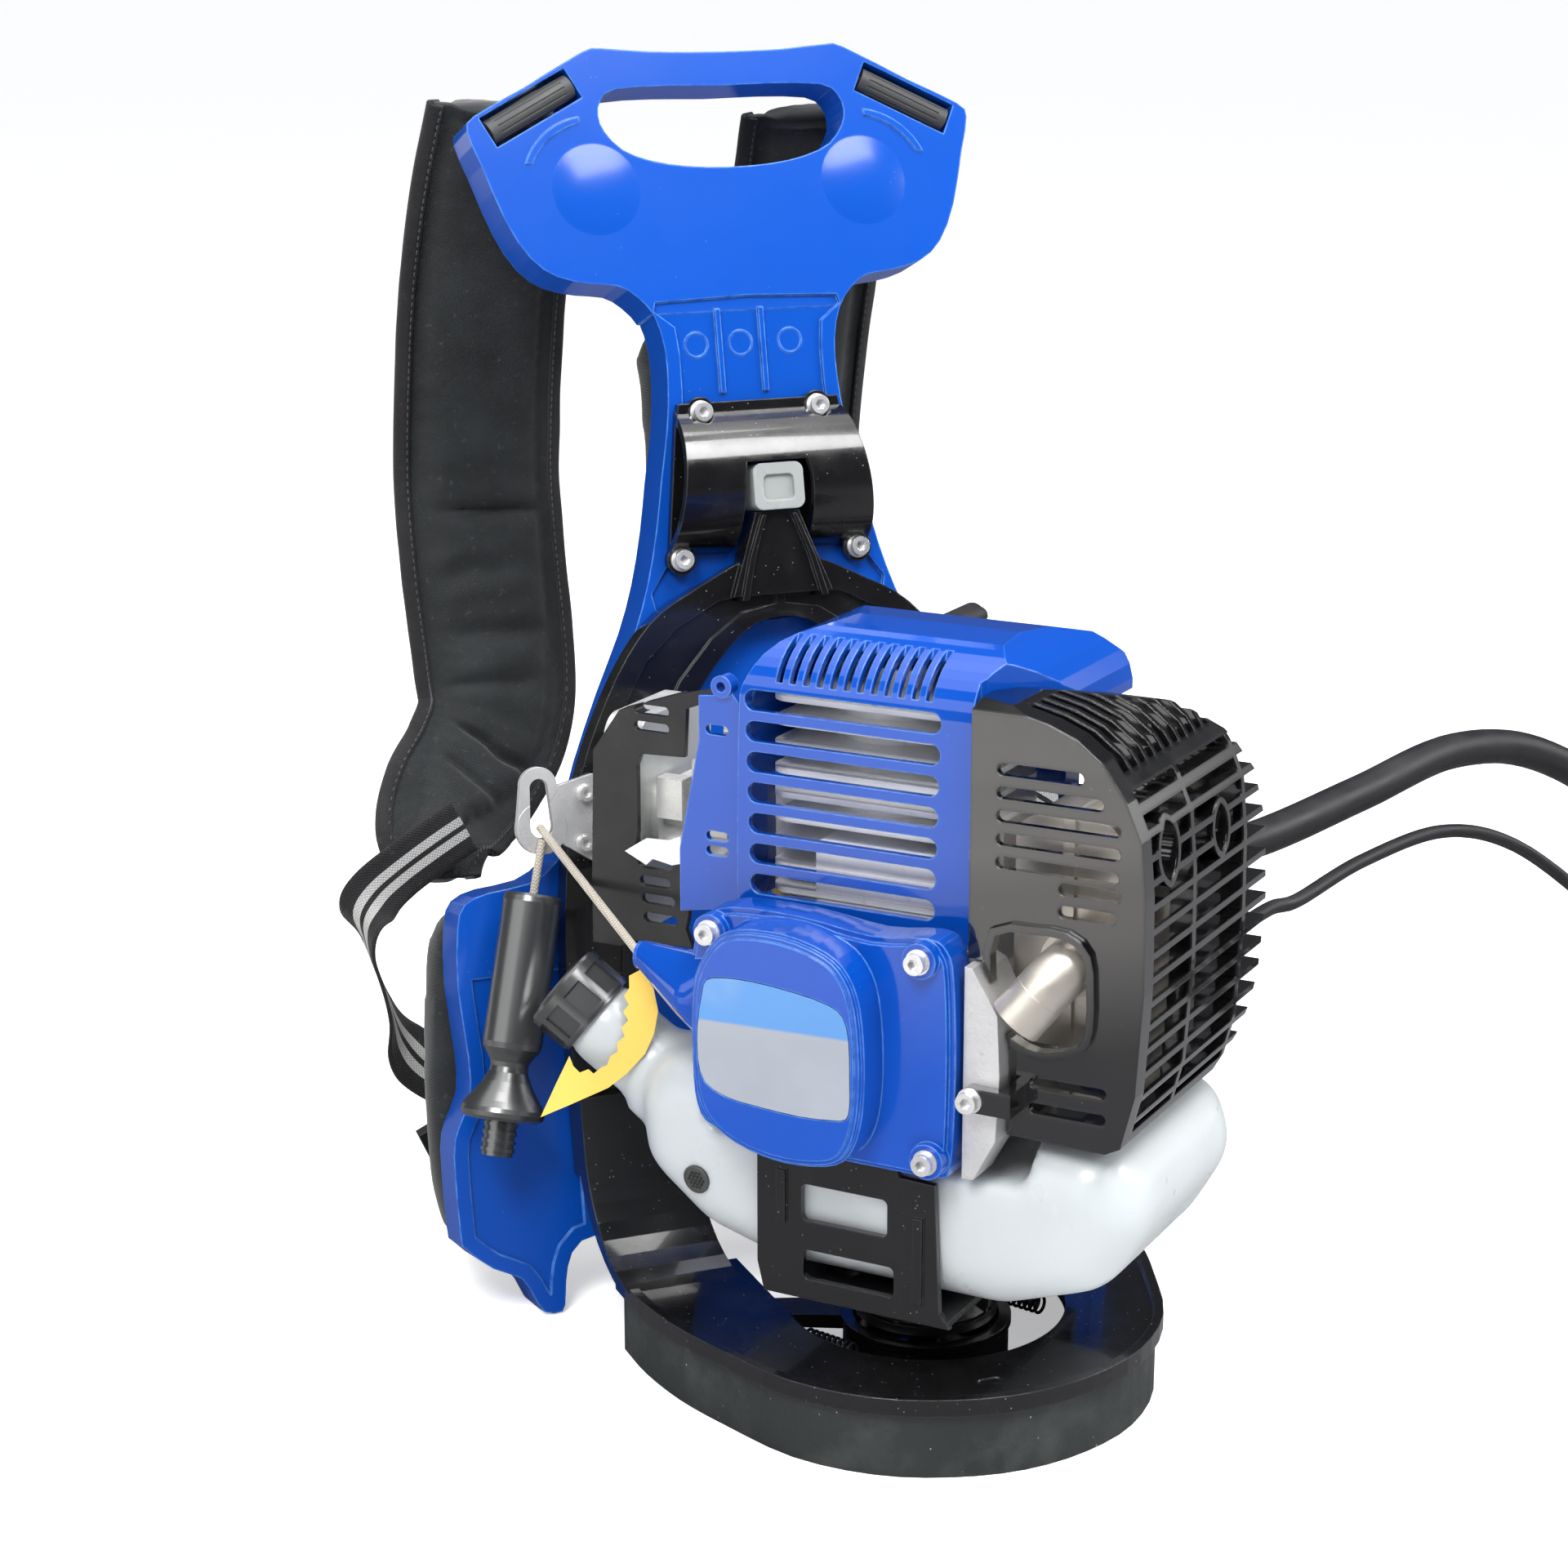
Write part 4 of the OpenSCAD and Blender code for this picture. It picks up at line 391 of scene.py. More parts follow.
def milky(name, col=(0.47, 0.50, 0.51), bevel=2.0):
    m, t, b = new_mat(name)
    co = nd(t, "ShaderNodeTexCoord").outputs["Object"]
    c = mixc(t, maprange(t, noise_tex(t, co, 9, 3, 0.5), 0.35, 0.7, 0.0, 1.0), tuple(x * 0.93 for x in col), col)
    c = mixc(t, maprange(t, noise_tex(t, co, 150, 4, 0.6), 0.62, 0.8, 0.0, 0.25), c, (0.55, 0.58, 0.6))
    t.links.new(c, b.inputs["Base Color"])
    t.links.new(maprange(t, noise_tex(t, co, 40, 3, 0.5), 0.3, 0.7, 0.26, 0.42), b.inputs["Roughness"])
    b.inputs["Subsurface Weight"].default_value = 0.3
    b.inputs["Subsurface Radius"].default_value = (0.02, 0.022, 0.024)
    b.inputs["Subsurface Scale"].default_value = 0.6
    b.inputs["Coat Weight"].default_value = 0.25
    b.inputs["Coat Roughness"].default_value = 0.15
    bev = nd(t, "ShaderNodeBevel")
    bev.samples = 4
    bev.inputs["Radius"].default_value = bevel * MM
    bp = nd(t, "ShaderNodeBump")
    bp.inputs["Strength"].default_value = 0.08
    bp.inputs["Distance"].default_value = 0.0008
    t.links.new(noise_tex(t, co, 300, 4, 0.6), bp.inputs["Height"])
    t.links.new(bev.outputs[0], bp.inputs["Normal"])
    t.links.new(bp.outputs[0], b.inputs["Normal"])
    return m


tank_mat = milky("tank_plastic")
block_mat = milky("isolator_plastic", (0.30, 0.315, 0.31), 0.8)
card = surface("card_yellow", (0.72, 0.48, 0.085), rough=0.55, vary=0.08, grain=500, bump=0.1)


def label_material():
    """Two-tone plate: light blue above, silver grey below a slanted line; bare."""
    m, t, b = new_mat("plate_two_tone")
    co = nd(t, "ShaderNodeTexCoord").outputs["Object"]
    dot = nd(t, "ShaderNodeVectorMath", operation="DOT_PRODUCT")
    ax = eng_dir((-0.03, 0, 1)).normalized()
    dot.inputs[1].default_value = ax
    t.links.new(co, dot.inputs[0])
    p0 = eng((-58, -93, 174)) * MM
    s = maprange(t, dot.outputs["Value"], p0.dot(ax) - 0.0006, p0.dot(ax) + 0.0006, 0.0, 1.0)
    c = mixc(t, s, (0.34, 0.37, 0.42), (0.10, 0.28, 0.62))
    c = mixc(t, maprange(t, noise_tex(t, co, 25, 3, 0.5), 0.4, 0.7, 0.0, 0.3), c, (0.5, 0.55, 0.62))
    t.links.new(c, b.inputs["Base Color"])
    b.inputs["Metallic"].default_value = 0.35
    b.inputs["Roughness"].default_value = 0.3
    b.inputs["Coat Weight"].default_value = 0.5
    bp = nd(t, "ShaderNodeBump")
    bp.inputs["Strength"].default_value = 0.05
    bp.inputs["Distance"].default_value = 0.0003
    t.links.new(noise_tex(t, co, 700, 3, 0.5), bp.inputs["Height"])
    t.links.new(bp.outputs[0], b.inputs["Normal"])
    return m


plate_mat = label_material()
cloth = weave("padding_cloth", (0.0115, 0.0135, 0.0145), pitch=1.3, bump=0.5, sheen=0.2, rough=0.7, fuzz=0.08)
binding = weave("binding_tape", (0.010, 0.010, 0.011), pitch=0.9, bump=0.7, sheen=0.1, rough=0.6, fuzz=0.08)
web_mat = weave("webbing_striped", (0.009, 0.009, 0.010), pitch=1.6, bump=0.8, sheen=0.1, rough=0.7, fuzz=0.08,
                stripes=(((-5.2, -1.2), (1.2, 5.2)), (0.40, 0.40, 0.39)))
thread = weave("thread", (0.05, 0.05, 0.055), pitch=0.6, bump=0.5, sheen=0.1, rough=0.6)


def rope_material():
    m, t, b = new_mat("braided_rope")
    co = nd(t, "ShaderNodeTexCoord").outputs["Object"]
    w1 = nd(t, "ShaderNodeTexWave", wave_type="BANDS", bands_direction="DIAGONAL")
    w1.inputs["Scale"].default_value = 330
    w1.inputs["Distortion"].default_value = 1.2
    t.links.new(co, w1.inputs["Vector"])
    w2 = nd(t, "ShaderNodeTexWave", wave_type="BANDS", bands_direction="DIAGONAL")
    w2.inputs["Scale"].default_value = 330
    w2.inputs["Distortion"].default_value = 1.2
    t.links.new(scaled(t, co, (-1, 1, 1)), w2.inputs["Vector"])
    w = math_n(t, "MULTIPLY", w1.outputs["Fac"], w2.outputs["Fac"])
    c = mixc(t, w, (0.30, 0.27, 0.22), (0.66, 0.61, 0.52))
    t.links.new(c, b.inputs["Base Color"])
    b.inputs["Roughness"].default_value = 0.8
    b.inputs["Sheen Weight"].default_value = 0.2
    bp = nd(t, "ShaderNodeBump")
    bp.inputs["Strength"].default_value = 0.7
    bp.inputs["Distance"].default_value = 0.0003
    t.links.new(w, bp.inputs["Height"])
    t.links.new(bp.outputs[0], b.inputs["Normal"])
    return m


rope_mat = rope_material()

# ------------------------------------------------------------------ cords
HOSE = [eng((-16, 123.4, 166)), eng((-16, 150, 166)), (164, 131, 163), (243, 168, 155), (325, 205, 160), (400, 238, 166),
        (468, 260, 152), (534, 260, 112), (582, 232, 58), (602, 190, 20), (609, 150, 9.8), (588, 99, 9.8), (537, 78, 9.8),
        (486, 99, 9.8), (467, 133, 9.8), (465, 151, 9.8)]
hose_pts = resample(cpath(HOSE, 8), 9)
hose = curve_obj("hose", hose_pts, 9.0, rubber, 8)
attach(hose, "engine")
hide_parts("drive_hose")

CABLE = [eng((36, 74.3, 130)), eng((36, 90, 130)), (135, 66, 130), (182, 100, 129), (240, 145, 128), (262, 155, 127),
         (318, 188, 131), (385, 220, 130), (440, 236, 112), (492, 236, 74), (534, 222, 34), (576, 190, 13), (584, 150, 7.3)]
cab = cpath(CABLE, 8)
cx, cy = 537, 150


def ease(x):
    x = max(0.0, min(1.0, x))
    return x * x * (3 - 2 * x)


# clockwise seen from above: outer bottom, inner bottom, inner top, outer top, then up on to the coil's top
keys = [(0.0, 47.0, 7.3), (0.22, 39.6, 3.9), (0.9, 39.6, 3.9), (1.12, 32.6, 3.9), (1.9, 32.6, 3.9), (2.12, 32.6, 10.9),
        (2.9, 32.6, 10.9), (3.12, 39.6, 10.9), (3.9, 39.6, 10.9), (4.28, 37.0, 19.1), (4.43, 36.2, 19.1)]


def at_key(s):
    for a, b in zip(keys, keys[1:]):
        if s <= b[0]:
            e = ease((s - a[0]) / (b[0] - a[0]))
            return a[1] + (b[1] - a[1]) * e, a[2] + (b[2] - a[2]) * e
    return keys[-1][1:]


n_turn = 26
coil_pts = []
total = 4.43
for i in range(1, int(total * n_turn) + 1):
    s = i / n_turn
    r, z = at_key(s)
    a = -2 * math.pi * s
    coil_pts.append(Vector((cx + r * math.cos(a), cy + r * math.sin(a), z)))
coil_pts.append(Vector((501, 137.4, 19.1)))
cable_pts = resample(cab + coil_pts, 4.5)
cable = curve_obj("cable", cable_pts, 3.5, rubber, 6)
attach(cable, "engine")
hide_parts("throttle_cable", "cable_coil")

# ------------------------------------------------------------------ CAD nodes and their materials
MATS = {
    "back_frame": blue, "shroud": blue_engine, "intake_panel": blue_engine, "starter_cover": blue_engine,
    "saddle_clamp": black_gloss, "saddle_block": block_mat, "clamp_screws": steel, "carrier_hoop": black_gloss,
    "base_skirt": skirt_mat, "pivot_cup": black_gloss, "pivot_arm": black_satin, "damper_springs": spring_mat,
    "rope_guide": zinc, "guide_screws": steel, "strap_buckles": black_satin, "pivot_hub": black_satin,
    "tank_bracket": black_gloss, "fuel_tank": tank_mat, "filler_tag": card, "fuel_cap": grip_mat, "crankcase": cast,
    "cylinder": fins_mat, "starter_screws": steel, "label_plate": plate_mat, "starter_pulley": black_satin, "flywheel": cast,
    "muffler": dark_steel, "exhaust_deflector": dark_steel, "muffler_guard": guard_mat, "filter_plate": black_satin,
    "filter_box": carb_mat, "carburettor": carb_mat, "intake_flange": black_satin, "choke_lever": white_lever,
    "throttle_lever": steel, "primer_bulb": amber, "plug_cap": rubber, "ignition_lead": rubber, "clutch_housing": black_satin,
    "clutch_drum": dark_steel, "hose_connector": steel, "cable_connector": black_satin, "cable_gland": rubber,
    "fuel_lines": amber, "starter_grip": grip_mat, "roller_left": roller_mat, "roller_right": roller_mat,
}
for name, ob in N.items():
    me = ob.data
    mat = MATS.get(name)
    if mat is not None:
        if not me.materials:
            me.materials.append(mat)
        for i in range(len(me.materials)):
            me.materials[i] = mat

# the moulded tank gets even faces, so that its soft corners shade smoothly
tank = N["fuel_tank"]
md = tank.modifiers.new("even", "REMESH")
md.mode = "VOXEL"
md.voxel_size = 0.0028
md.use_smooth_shade = True
md = tank.modifiers.new("soft", "SMOOTH")
md.factor = 0.5
md.iterations = 8



# dotted vent plug pressed into the side of the tank
def vent_plug(c, n, r=6.0):
    n = Vector(n).normalized()
    c = Vector(c)
    a = n.cross(Vector((0, 0, 1))).normalized()
    b = n.cross(a)
    verts, faces = [], []

    def turned(o, rings, k):
        nonlocal verts, faces
        base = len(verts)
        for rr, h in rings:
            for i in range(k):
                q = 2 * math.pi * i / k
                verts.append(o + a * rr * math.cos(q) + b * rr * math.sin(q) + n * h)
        for j in range(len(rings) - 1):
            for i in range(k):
                i2 = (i + 1) % k
                faces.append((base + j * k + i, base + j * k + i2, base + (j + 1) * k + i2, base + (j + 1) * k + i))
        faces.append(tuple(base + (len(rings) - 1) * k + i for i in range(k)))

    turned(c, [(r, -1.6), (r, 0.5), (r - 0.4, 0.8), (r - 0.9, 0.8), (r - 1.0, 0.5)], 32)
    o = mesh_obj("tank_vent", verts, faces, vent_mat, False)
    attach(o, "engine")
    verts, faces = [], []
    for i in range(-3, 4):
        for j in range(-3, 4):
            x, y = i * 1.7 + (j % 2) * 0.85, j * 1.5
            if math.hypot(x, y) < r - 1.5:
                turned(c + a * x + b * y, [(0.62, 0.4), (0.55, 0.9), (0.35, 1.0)], 8)
    o = mesh_obj("tank_vent_dots", verts, faces, black_satin, False)
    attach(o, "engine")


vent_plug((-93.73, 16.45, 93.06), (-0.81, -0.578, -0.10))

# ------------------------------------------------------------------ shoulder straps
STRAP_L = [(-84, 262, 497), (-88, 276, 462), (-91, 288, 420), (-93, 294, 375), (-95, 293, 330), (-95, 285, 288),
           (-94, 276, 248), (-98, 266, 224), (-111, 254, 207), (-127, 240, 194), (-138, 227, 182), (-140, 217, 167)]
STRAP_LW = [(1, 0, 0), (1, 0, 0), (1, 0, 0), (1, 0, 0), (1, 0, 0), (1, 0, 0), (1, 0, -0.05), (0.95, -0.05, -0.2),
            (0.88, -0.05, -0.35), (0.88, -0.05, -0.35), (0.95, -0.05, -0.2), (1, -0.05, -0.1)]
STRAP_R = [(62, 262, 492), (63, 276, 462), (62, 288, 420), (60, 294, 375), (56, 293, 330), (57, 285, 288),
           (62, 276, 248), (72, 266, 224), (90, 254, 207), (108, 240, 194), (122, 227, 182), (128, 217, 167)]
STRAP_RW = [(1, 0, 0), (1, 0, 0), (1, 0, 0), (1, 0.1, 0), (1, 0.1, 0), (1, 0, 0), (1, 0, 0.05), (0.95, -0.05, 0.2),
            (0.88, -0.05, 0.35), (0.88, -0.05, 0.35), (0.95, -0.05, 0.2), (1, -0.05, 0.1)]
STRAP_HALF = [37.4, 37.4, 37.4, 37.4, 37.4, 37.4, 36.9, 34.9, 33.4, 31.4, 26.4, 17.6]


def frames(pts, wid, n):
    p = cpath(pts, n)
    w = cpath(wid, n)
    out = []
    for i in range(len(p)):
        t = (p[min(i + 1, len(p) - 1)] - p[max(i - 1, 0)]).normalized()
        a = (w[i] - t * w[i].dot(t)).normalized()
        out.append((p[i], t, a, a.cross(t)))
    s = [0.0]
    for a, b in zip(out, out[1:]):
        s.append(s[-1] + (b[0] - a[0]).length)
    return out, s


def loft(name, fr, s, section, mat, closed=True, caps=True, v_of=None):
    """Sweeps section(i, s) -> list of (across, out) in millimetres."""
    verts, faces, uvs = [], [], []
    k = None
    for i, (p, t, a, b) in enumerate(fr):
        sec = section(i, s[i])
        k = len(sec)
        acc = 0.0
        for j, (x, y) in enumerate(sec):
            verts.append(p + a * x + b * y)
            if j:
                acc += math.hypot(x - sec[j - 1][0], y - sec[j - 1][1])
            uvs.append((s[i], x if v_of is None else v_of(x, y, acc)))
    m = len(fr)
    for i in range(m - 1):
        for j in range(k if closed else k - 1):
            j2 = (j + 1) % k
            faces.append((i * k + j, i * k + j2, (i + 1) * k + j2, (i + 1) * k + j))
    if caps and closed:
        faces.append(tuple(range(k - 1, -1, -1)))
        faces.append(tuple((m - 1) * k + j for j in range(k)))
    ob = mesh_obj(name, verts, faces, mat, True, uvs)
    return ob


SEAM_AT = {"L": (40, 118, 205, 318, 372), "R": (40, 118, 205, 318, 372)}


def strap(side, pts, wid):
    fr, s = frames(pts, wid, 20)
    total = s[-1]
    halves = [q[0] for q in cpath([(h, 0, 0) for h in STRAP_HALF], 20)]

    def half_at(u):
        return float(np.interp(u, s, halves))

    seed = 3.1 if side == "L" else 9.7

    folds = [(0.585, 6.0, 2.1, 0.9), (0.66, 1.8, 5.0, -0.5), (0.735, 2.6, 4.0, 0.3), (0.80, 2.2, 3.4, -0.8), (0.885, 5.2, 2.3, 0.6)]

    def crown(x, u):
        half = half_at(u)
        c = half - 9.0
        e = min(1.0, abs(x) / c)
        inner = (1 - e ** 5) if e < 1 else 0.0
        hem = 1.9 + 0.25 * math.sin(u * 0.9 + x)
        # the cushion rounds off quickly into the seam beside the hem
        base = hem + 5.4 * inner - 0.9 * math.exp(-((abs(x) - c) / 1.6) ** 2)
        # puckers along that seam
        base += 0.8 * math.exp(-((abs(x) - c + 4) / 3.2) ** 2) * noise.noise(Vector((u * 0.16, 2.0 if x > 0 else 7.0, seed)))
        # sewn cross seams pull the padding in
        for at in (total * 0.10, total * 0.94):
            base -= 2.6 * math.exp(-((u - at - 0.06 * x) / 2.4) ** 2) * inner
        # folds where the strap bends over
        for at, deep, wide, lean in folds:
            d = u - total * at - lean * 0.1 * x - 2.2 * noise.noise(Vector((x * 0.06, at * 9, seed)))
            side_ = 0.25 + 0.75 / (1 + math.exp(-(x * (1 if lean > 0 else -1) + 14) / 4.0))
            base += (1.5 * math.exp(-((abs(d) - 9) / 5.5) ** 2) - deep * math.exp(-(d / wide) ** 2)) * side_ * inner
        wr = noise.noise(Vector((x * 0.045 + seed, u * 0.022, seed)))
        wr2 = noise.noise(Vector((x * 0.02, u * 0.07, seed * 2)))
        base += (1.2 * wr + 0.7 * wr2) * inner
        return max(1.2, base)

    def section(i, u):
        half = half_at(u)
        xs = [half * math.sin(math.radians(a)) for a in range(-90, 91, 6)]
        up = [(x, crown(x, u)) for x in xs]
        dn = [(x, -crown(x, u + 31)) for x in reversed(xs)]
        return up + dn

    body = loft("strap_body_" + side, fr, s, section, cloth, v_of=lambda x, y, acc: x)
    pieces = [body]
    # binding tape folded round both edges
    for e in (-1, 1):
        def tape(i, u, e=e):
            half = half_at(u)
            wob = 0.35 * noise.noise(Vector((u * 0.05, e * 3.0, seed)))
            o = [(half - 4.6, 3.3), (half - 2.2, 2.9), (half + 0.2, 2.3), (half + 1.5, 1.1), (half + 1.7, 0), (half + 1.5, -1.1),
                 (half + 0.2, -2.3), (half - 2.2, -2.9), (half - 4.6, -3.3), (half - 4.8, -2.0), (half - 1.5, -0.8), (half - 1.5, 0.8), (half - 4.8, 2.0)]
            sec = [(e * (x + wob), y * 1.22) for x, y in o]
            return sec if e > 0 else list(reversed(sec))
        pieces.append(loft("strap_binding_%s_%d" % (side, 0 if e < 0 else 1), fr, s, tape, binding, v_of=lambda x, y, acc: acc))
    # stitches: short threads along the tape and the cross seams
    verts, faces = [], []

    def stitch(c, d, n, ln=2.3, r=0.32):
        d = d.normalized()
        q = n.cross(d).normalized()
        base = len(verts)
        ring = [(0.0, 0.25), (0.15, 1.0), (0.85, 1.0), (1.0, 0.25)]
        for f, sc in ring:
            for k in range(5):
                a = 2 * math.pi * k / 5
                verts.append(c + d * ((f - 0.5) * ln) + (q * math.cos(a) + n * math.sin(a)) * r * sc)
        for i in range(3):
            for k in range(5):
                k2 = (k + 1) % 5
                faces.append((base + i * 5 + k, base + i * 5 + k2, base + (i + 1) * 5 + k2, base + (i + 1) * 5 + k))
        faces.append(tuple(base + k for k in range(4, -1, -1)))
        faces.append(tuple(base + 15 + k for k in range(5)))

    def at(u):
        j = 0
        while j < len(s) - 2 and s[j + 1] < u:
            j += 1
        f = (u - s[j]) / (s[j + 1] - s[j])
        p0, t0, a0, b0 = fr[j]
        p1, t1, a1, b1 = fr[j + 1]
        return p0.lerp(p1, f), t0.lerp(t1, f).normalized(), a0.lerp(a1, f).normalized(), b0.lerp(b1, f).normalized()

    u = 3.0
    while u < total - 3:
        p, t, a, b = at(u)
        half = half_at(u)
        for e in (-1, 1):
            for f in (-1, 1):
                stitch(p + a * e * (half - 3.6) + b * f * 4.0, t, b * f)
        u += 3.4
    for sm in (total * 0.10, total * 0.94):
        half = half_at(sm) - 2
        x = -half + 6
        while x < half - 6:
            p, t, a, b = at(sm + 0.06 * x)
            h = crown(x, sm + 0.06 * x)
            stitch(p + a * x + b * (h + 0.15), a, b)
            x += 3.4
    st = mesh_obj("strap_stitches_" + side, verts, faces, thread, True, [(0.0, 0.0)] * len(verts))
    pieces.append(st)
    for o in pieces:
        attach(o, "frame")
    return pieces, fr, s


pl, fr_l, s_l = strap("L", STRAP_L, STRAP_LW)
pr_, fr_r, s_r = strap("R", STRAP_R, STRAP_RW)
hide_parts("strap_left")
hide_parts("strap_right")

# ------------------------------------------------------------------ webbing
WEB = [(-130, 209, 192), (-146, 207, 184), (-161, 206, 175), (-172, 206, 166), (-178, 205, 156), (-176, 205, 143),
       (-172, 204, 129), (-168, 203, 115), (-163, 202, 99), (-153, 200, 86), (-138, 196, 76), (-121, 189, 66)]
WEB_W = [(-0.5, 0, 0.85), (-0.5, 0, 0.85), (-0.5, 0, 0.85), (-0.5, 0.2, 0.83), (-0.4, 0.75, 0.5), (0, 0.95, 0.3),
         (0.1, 0.98, 0.15), (0.15, 0.93, 0.3), (0.3, 0.6, 0.7), (0.42, 0.1, 0.9), (0.42, 0.05, 0.9), (0.42, 0.05, 0.9)]


def webbing(name, pts, node, flip=False):
    wid = WEB_W
    if flip:
        pts = [(-x - 8, y, z) for x, y, z in pts]
        wid = [(-a, b, c) for a, b, c in WEB_W]
    fr, s = frames(pts, wid, 12)

    def section(i, u):
        xs = [-12.6, -10, -6, -2, 2, 6, 10, 12.6]
        w = 0.25 * noise.noise(Vector((u * 0.04, 0.3, 1.7)))
        return [(x, 0.8 + w) for x in xs] + [(13.0, w)] + [(x, -0.8 + w) for x in reversed(xs)] + [(-13.0, w)]

    o = loft(name, fr, s, section, web_mat)
    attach(o, "frame")
    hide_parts(node)
    return o


webbing("web_L", WEB, "webbing_left")
webbing("web_R", WEB, "webbing_right", True)

# ------------------------------------------------------------------ back pad
lo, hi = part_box("back_pad")


def pad_piece():
    src = N["back_pad"]
    me = src.data.copy()
    ob = bpy.data.objects.new("pad_cushion", me)
    scene.collection.objects.link(ob)
    bpy.context.view_layer.objects.active = ob
    for o in bpy.context.selected_objects:
        o.select_set(False)
    ob.select_set(True)
    md = ob.modifiers.new("remesh", "REMESH")
    md.mode = "VOXEL"
    md.voxel_size = 0.005
    dg = bpy.context.evaluated_depsgraph_get()
    me2 = bpy.data.meshes.new_from_object(ob.evaluated_get(dg))
    ob.modifiers.clear()
    ob.data = me2
    return ob


pad = pad_piece()
for m_ in range(len(pad.data.materials)):
    pad.data.materials[m_] = cloth
if not pad.data.materials:
    pad.data.materials.append(cloth)
pad.data.polygons.foreach_set("use_smooth", [True] * len(pad.data.polygons))
bm = bmesh.new()
bm.from_mesh(pad.data)
for _ in range(4):
    bmesh.ops.smooth_vert(bm, verts=bm.verts, factor=0.5, use_axis_x=True, use_axis_y=True, use_axis_z=True)
bm.normal_update()
for v in bm.verts:
    q = v.co * 1000
    v.co += v.normal * MM * (1.1 * noise.noise(Vector((q.x * 0.03, q.y * 0.03, q.z * 0.03))) - 0.9)
uvl = bm.loops.layers.uv.new("UVMap") if not bm.loops.layers.uv else bm.loops.layers.uv[0]
for f in bm.faces:
    for lp in f.loops:
        lp[uvl].uv = (lp.vert.co.x * 1000, lp.vert.co.z * 1000)
bm.to_mesh(pad.data)
bm.free()
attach(pad, "frame")
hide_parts("back_pad")

# ------------------------------------------------------------------ starter rope
LOOP_W = Vector((-117, 139.6, 208.5))
BUSH_W = eng((-97.6, -62, 184))
GRIP_TOP = Vector((-124, 129, 183))
GRIP_DIR = Vector((-23, -24, -86)).normalized()


def braid(name, pts, r, mat, step=3.0):
    o = curve_obj(name, resample(pts, step), r, mat, 5)
    return o


r1 = braid("rope_run", cpath([BUSH_W, BUSH_W.lerp(LOOP_W, 0.5), LOOP_W], 6), 1.75, rope_mat)
dg = bpy.context.evaluated_depsgraph_get()
me = bpy.data.meshes.new_from_object(r1.evaluated_get(dg))
rope_run = bpy.data.objects.new("rope_run_mesh", me)
scene.collection.objects.link(rope_run)
bpy.data.objects.remove(r1)
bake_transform(rope_run)
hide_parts("starter_rope")
r2 = braid("rope_drop", cpath([LOOP_W + Vector((-1, -6.4, -3.5)), Vector((-120.5, 131.8, 196)), GRIP_TOP + GRIP_DIR * 6], 6), 1.75, rope_mat, 0.8)
me = bpy.data.meshes.new_from_object(r2.evaluated_get(bpy.context.evaluated_depsgraph_get()))
rope_drop = bpy.data.objects.new("rope_drop_mesh", me)
scene.collection.objects.link(rope_drop)
bpy.data.objects.remove(r2)
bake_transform(rope_drop)
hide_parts("grip_rope")

# ------------------------------------------------------------------ floor and light
me = bpy.data.meshes.new("floor")
S = 60
me.from_pydata([(-S, -S, 0), (S, -S, 0), (S, S, 0), (-S, S, 0)], [], [(0, 1, 2, 3)])
floor = bpy.data.objects.new("floor", me)
scene.collection.objects.link(floor)
fm, ft, fb = new_mat("floor_with_painted_reflections")
fco = nd(ft, "ShaderNodeTexCoord").outputs["Object"]
pale = mixc(ft, noise_tex(ft, fco, 3, 2, 0.5), (0.93, 0.93, 0.93), (0.95, 0.95, 0.95))
# painted reflection: shiny faces see the floor dark, while to the camera it stays pale
ray = nd(ft, "ShaderNodeLightPath")
seen = ray.outputs["Is Glossy Ray"]
ft.links.new(mixc(ft, seen, pale, (0.16, 0.16, 0.165)), fb.inputs["Base Color"])
fsep = nd(ft, "ShaderNodeSeparateXYZ")
ft.links.new(fco, fsep.inputs[0])
# painted reflections: shiny faces see the floor glow as a bright sheet well to the left and as a fainter patch nearer,
# dark everywhere else
painted_reflection_sheet = math_n(ft, "MULTIPLY", maprange(ft, fsep.outputs[0], -0.98, -0.72, 1.0, 0.0), maprange(ft, fsep.outputs[0], -1.75, -1.5, 0.0, 1.0))
painted_reflection_patch = math_n(ft, "MULTIPLY", maprange(ft, fsep.outputs[0], -0.62, -0.44, 1.0, 0.0), maprange(ft, fsep.outputs[0], -0.95, -0.80, 0.0, 1.0))
painted_reflection_patch = math_n(ft, "MULTIPLY", painted_reflection_patch, math_n(ft, "MULTIPLY", maprange(ft, fsep.outputs[1], -0.60, -0.42, 0.0, 1.0), maprange(ft, fsep.outputs[1], 0.0, 0.2, 1.0, 0.0)))
painted_reflection_sheet = math_n(ft, "ADD", painted_reflection_sheet, math_n(ft, "MULTIPLY", painted_reflection_patch, 0.7), clamp=True)
painted_reflection_glow = mixc(ft, math_n(ft, "MULTIPLY", seen, painted_reflection_sheet), (0.0, 0.0, 0.0), (1.35, 1.3, 1.24))
ft.links.new(mixc(ft, ray.outputs["Is Camera Ray"], painted_reflection_glow, (0.42, 0.42, 0.42)), fb.inputs["Emission Color"])
fb.inputs["Emission Strength"].default_value = 1.0
fb.inputs["Roughness"].default_value = 0.9
fb.inputs["Specular IOR Level"].default_value = 0.1
me.materials.append(fm)

w = bpy.data.worlds.new("studio")
scene.world = w
w.use_nodes = True
bg = w.node_tree.nodes["Background"]
wt = w.node_tree
lp = nd(wt, "ShaderNodeLightPath")
direction = nd(wt, "ShaderNodeTexCoord").outputs["Generated"]
sep = nd(wt, "ShaderNodeSeparateXYZ")
wt.links.new(direction, sep.inputs[0])
dx, dy, dz = sep.outputs
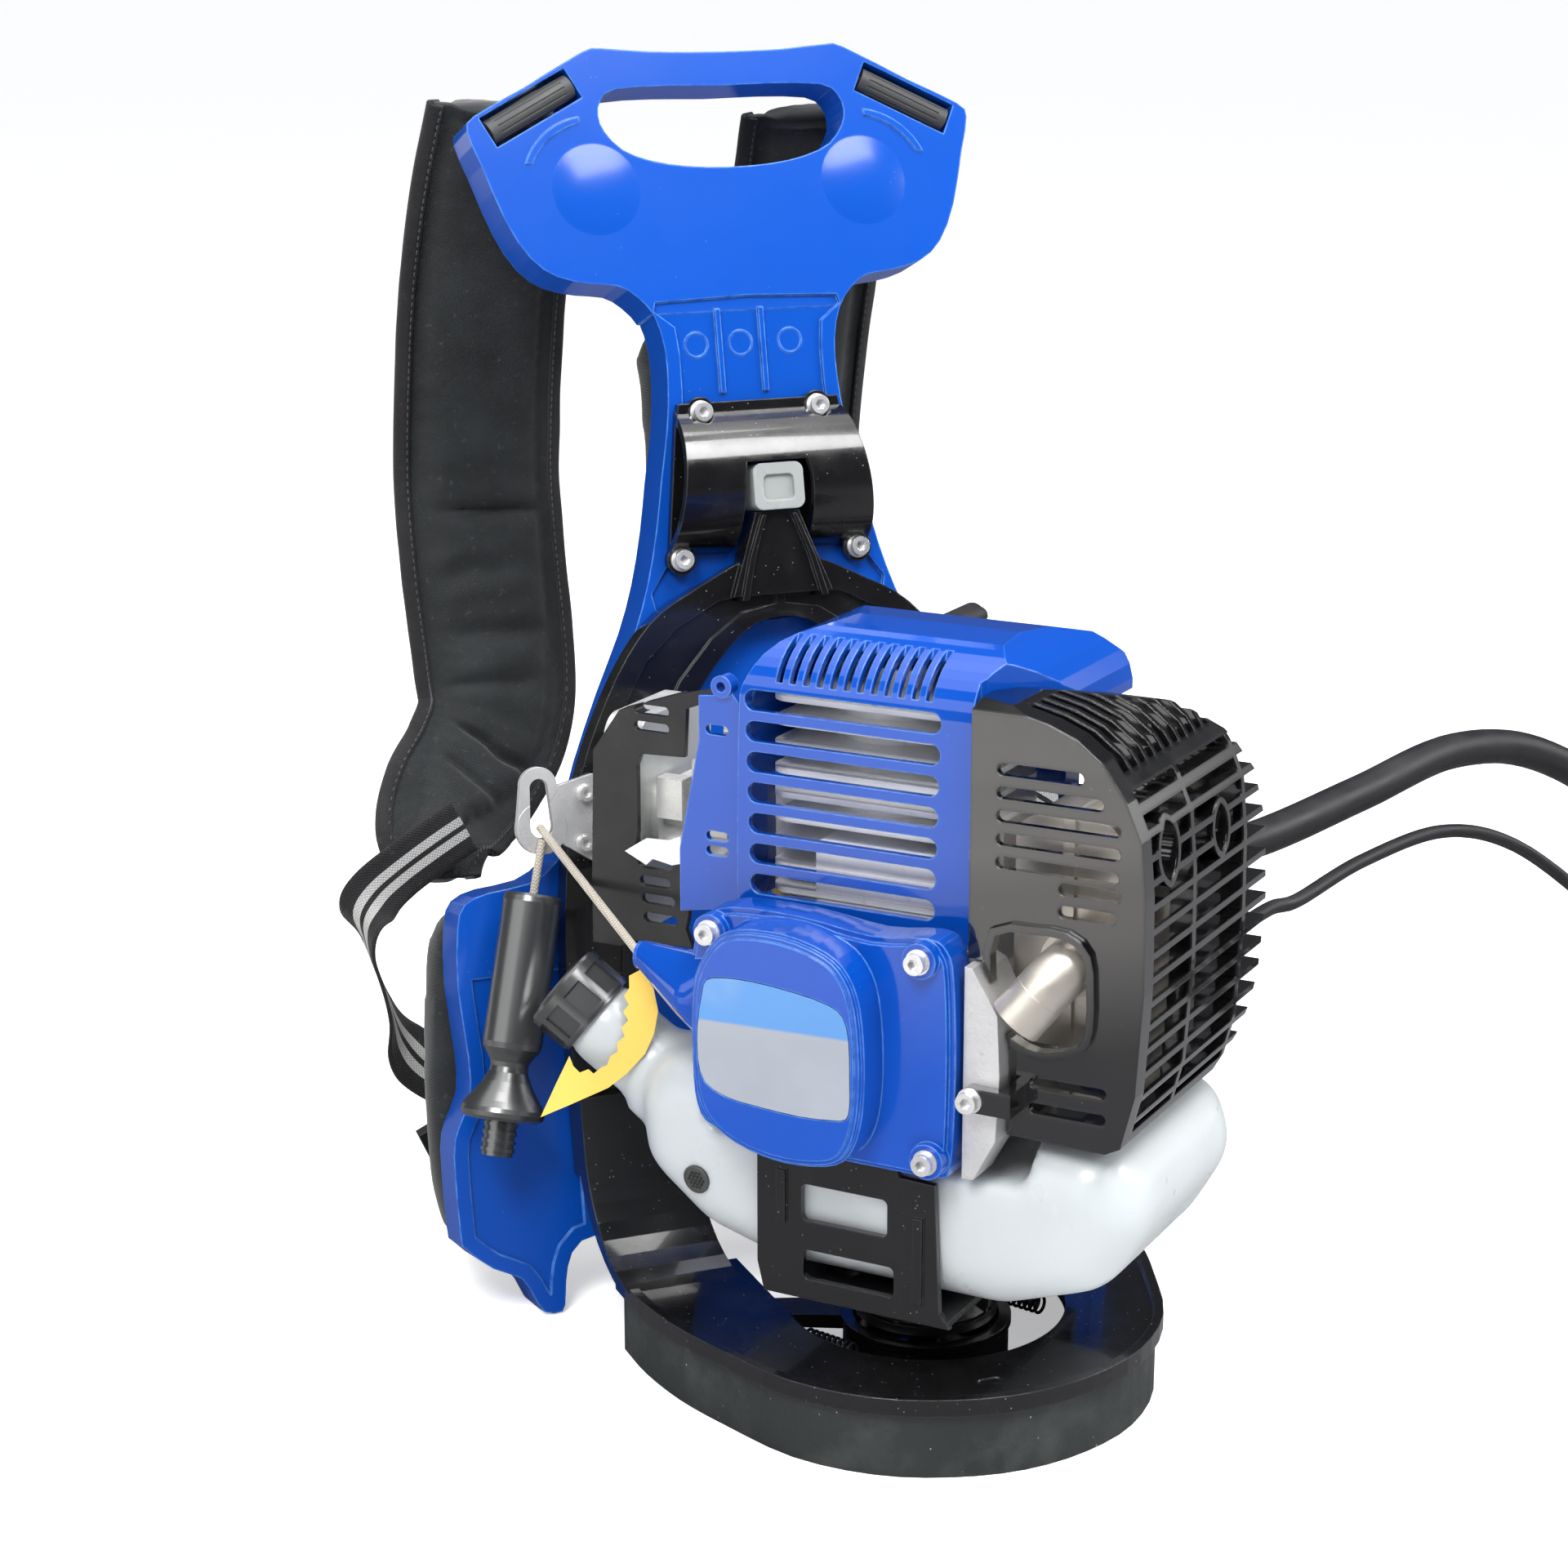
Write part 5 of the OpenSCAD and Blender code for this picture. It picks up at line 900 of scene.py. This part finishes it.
# what shiny faces see: a dark room with a large soft box overhead and two upright ones
over = maprange(wt, dz, 0.72, 0.84, 0.0, 1.0)
az = nd(wt, "ShaderNodeMath", operation="ARCTAN2")
wt.links.new(dx, az.inputs[0])
wt.links.new(math_n(wt, "MULTIPLY", dy, -1.0), az.inputs[1])


def upright(a0, a1, soft=0.07):
    b = math_n(wt, "MULTIPLY", maprange(wt, az.outputs[0], a0, a0 + soft, 0.0, 1.0), maprange(wt, az.outputs[0], a1, a1 + soft, 1.0, 0.0))
    return math_n(wt, "MULTIPLY", b, math_n(wt, "MULTIPLY", maprange(wt, dz, 0.02, 0.10, 0.0, 1.0), maprange(wt, dz, 0.55, 0.62, 1.0, 0.0)))


boxes = math_n(wt, "ADD", over, math_n(wt, "ADD", upright(-1.75, -0.85), upright(1.35, 1.8)), clamp=True)
room = mixc(wt, boxes, (0.055, 0.057, 0.062), (1.7, 1.7, 1.7))
ambient = mixc(wt, lp.outputs["Is Camera Ray"], (0.55, 0.555, 0.57), (1, 1, 1))
wt.links.new(mixc(wt, lp.outputs["Is Glossy Ray"], ambient, room), bg.inputs["Color"])
bg.inputs["Strength"].default_value = 1.06


def area(name, loc, aim, size, power, sy=None):
    ld = bpy.data.lights.new(name, "AREA")
    ld.energy = power
    ld.size = size
    if sy:
        ld.shape = "RECTANGLE"
        ld.size_y = sy
    lo_ = bpy.data.objects.new(name, ld)
    scene.collection.objects.link(lo_)
    lo_.location = loc
    lo_.rotation_euler = (Vector(aim) - Vector(loc)).to_track_quat("-Z", "Y").to_euler()
    return lo_


area("key", (-1.0, -1.0, 1.7), (0, 0.1, 0.25), 0.7, 36)
area("front", (0.40, -0.62, 1.72), (0, 0.2, 0.45), 0.75, 24)
area("side", (1.6, -0.6, 1.1), (0, 0.1, 0.25), 0.5, 16)
area("top", (0.1, 0.2, 2.2), (0, 0.1, 0.2), 0.9, 17)
scene.view_settings.view_transform = "Standard"
scene.view_settings.look = "None"
scene.view_settings.exposure = 0.0
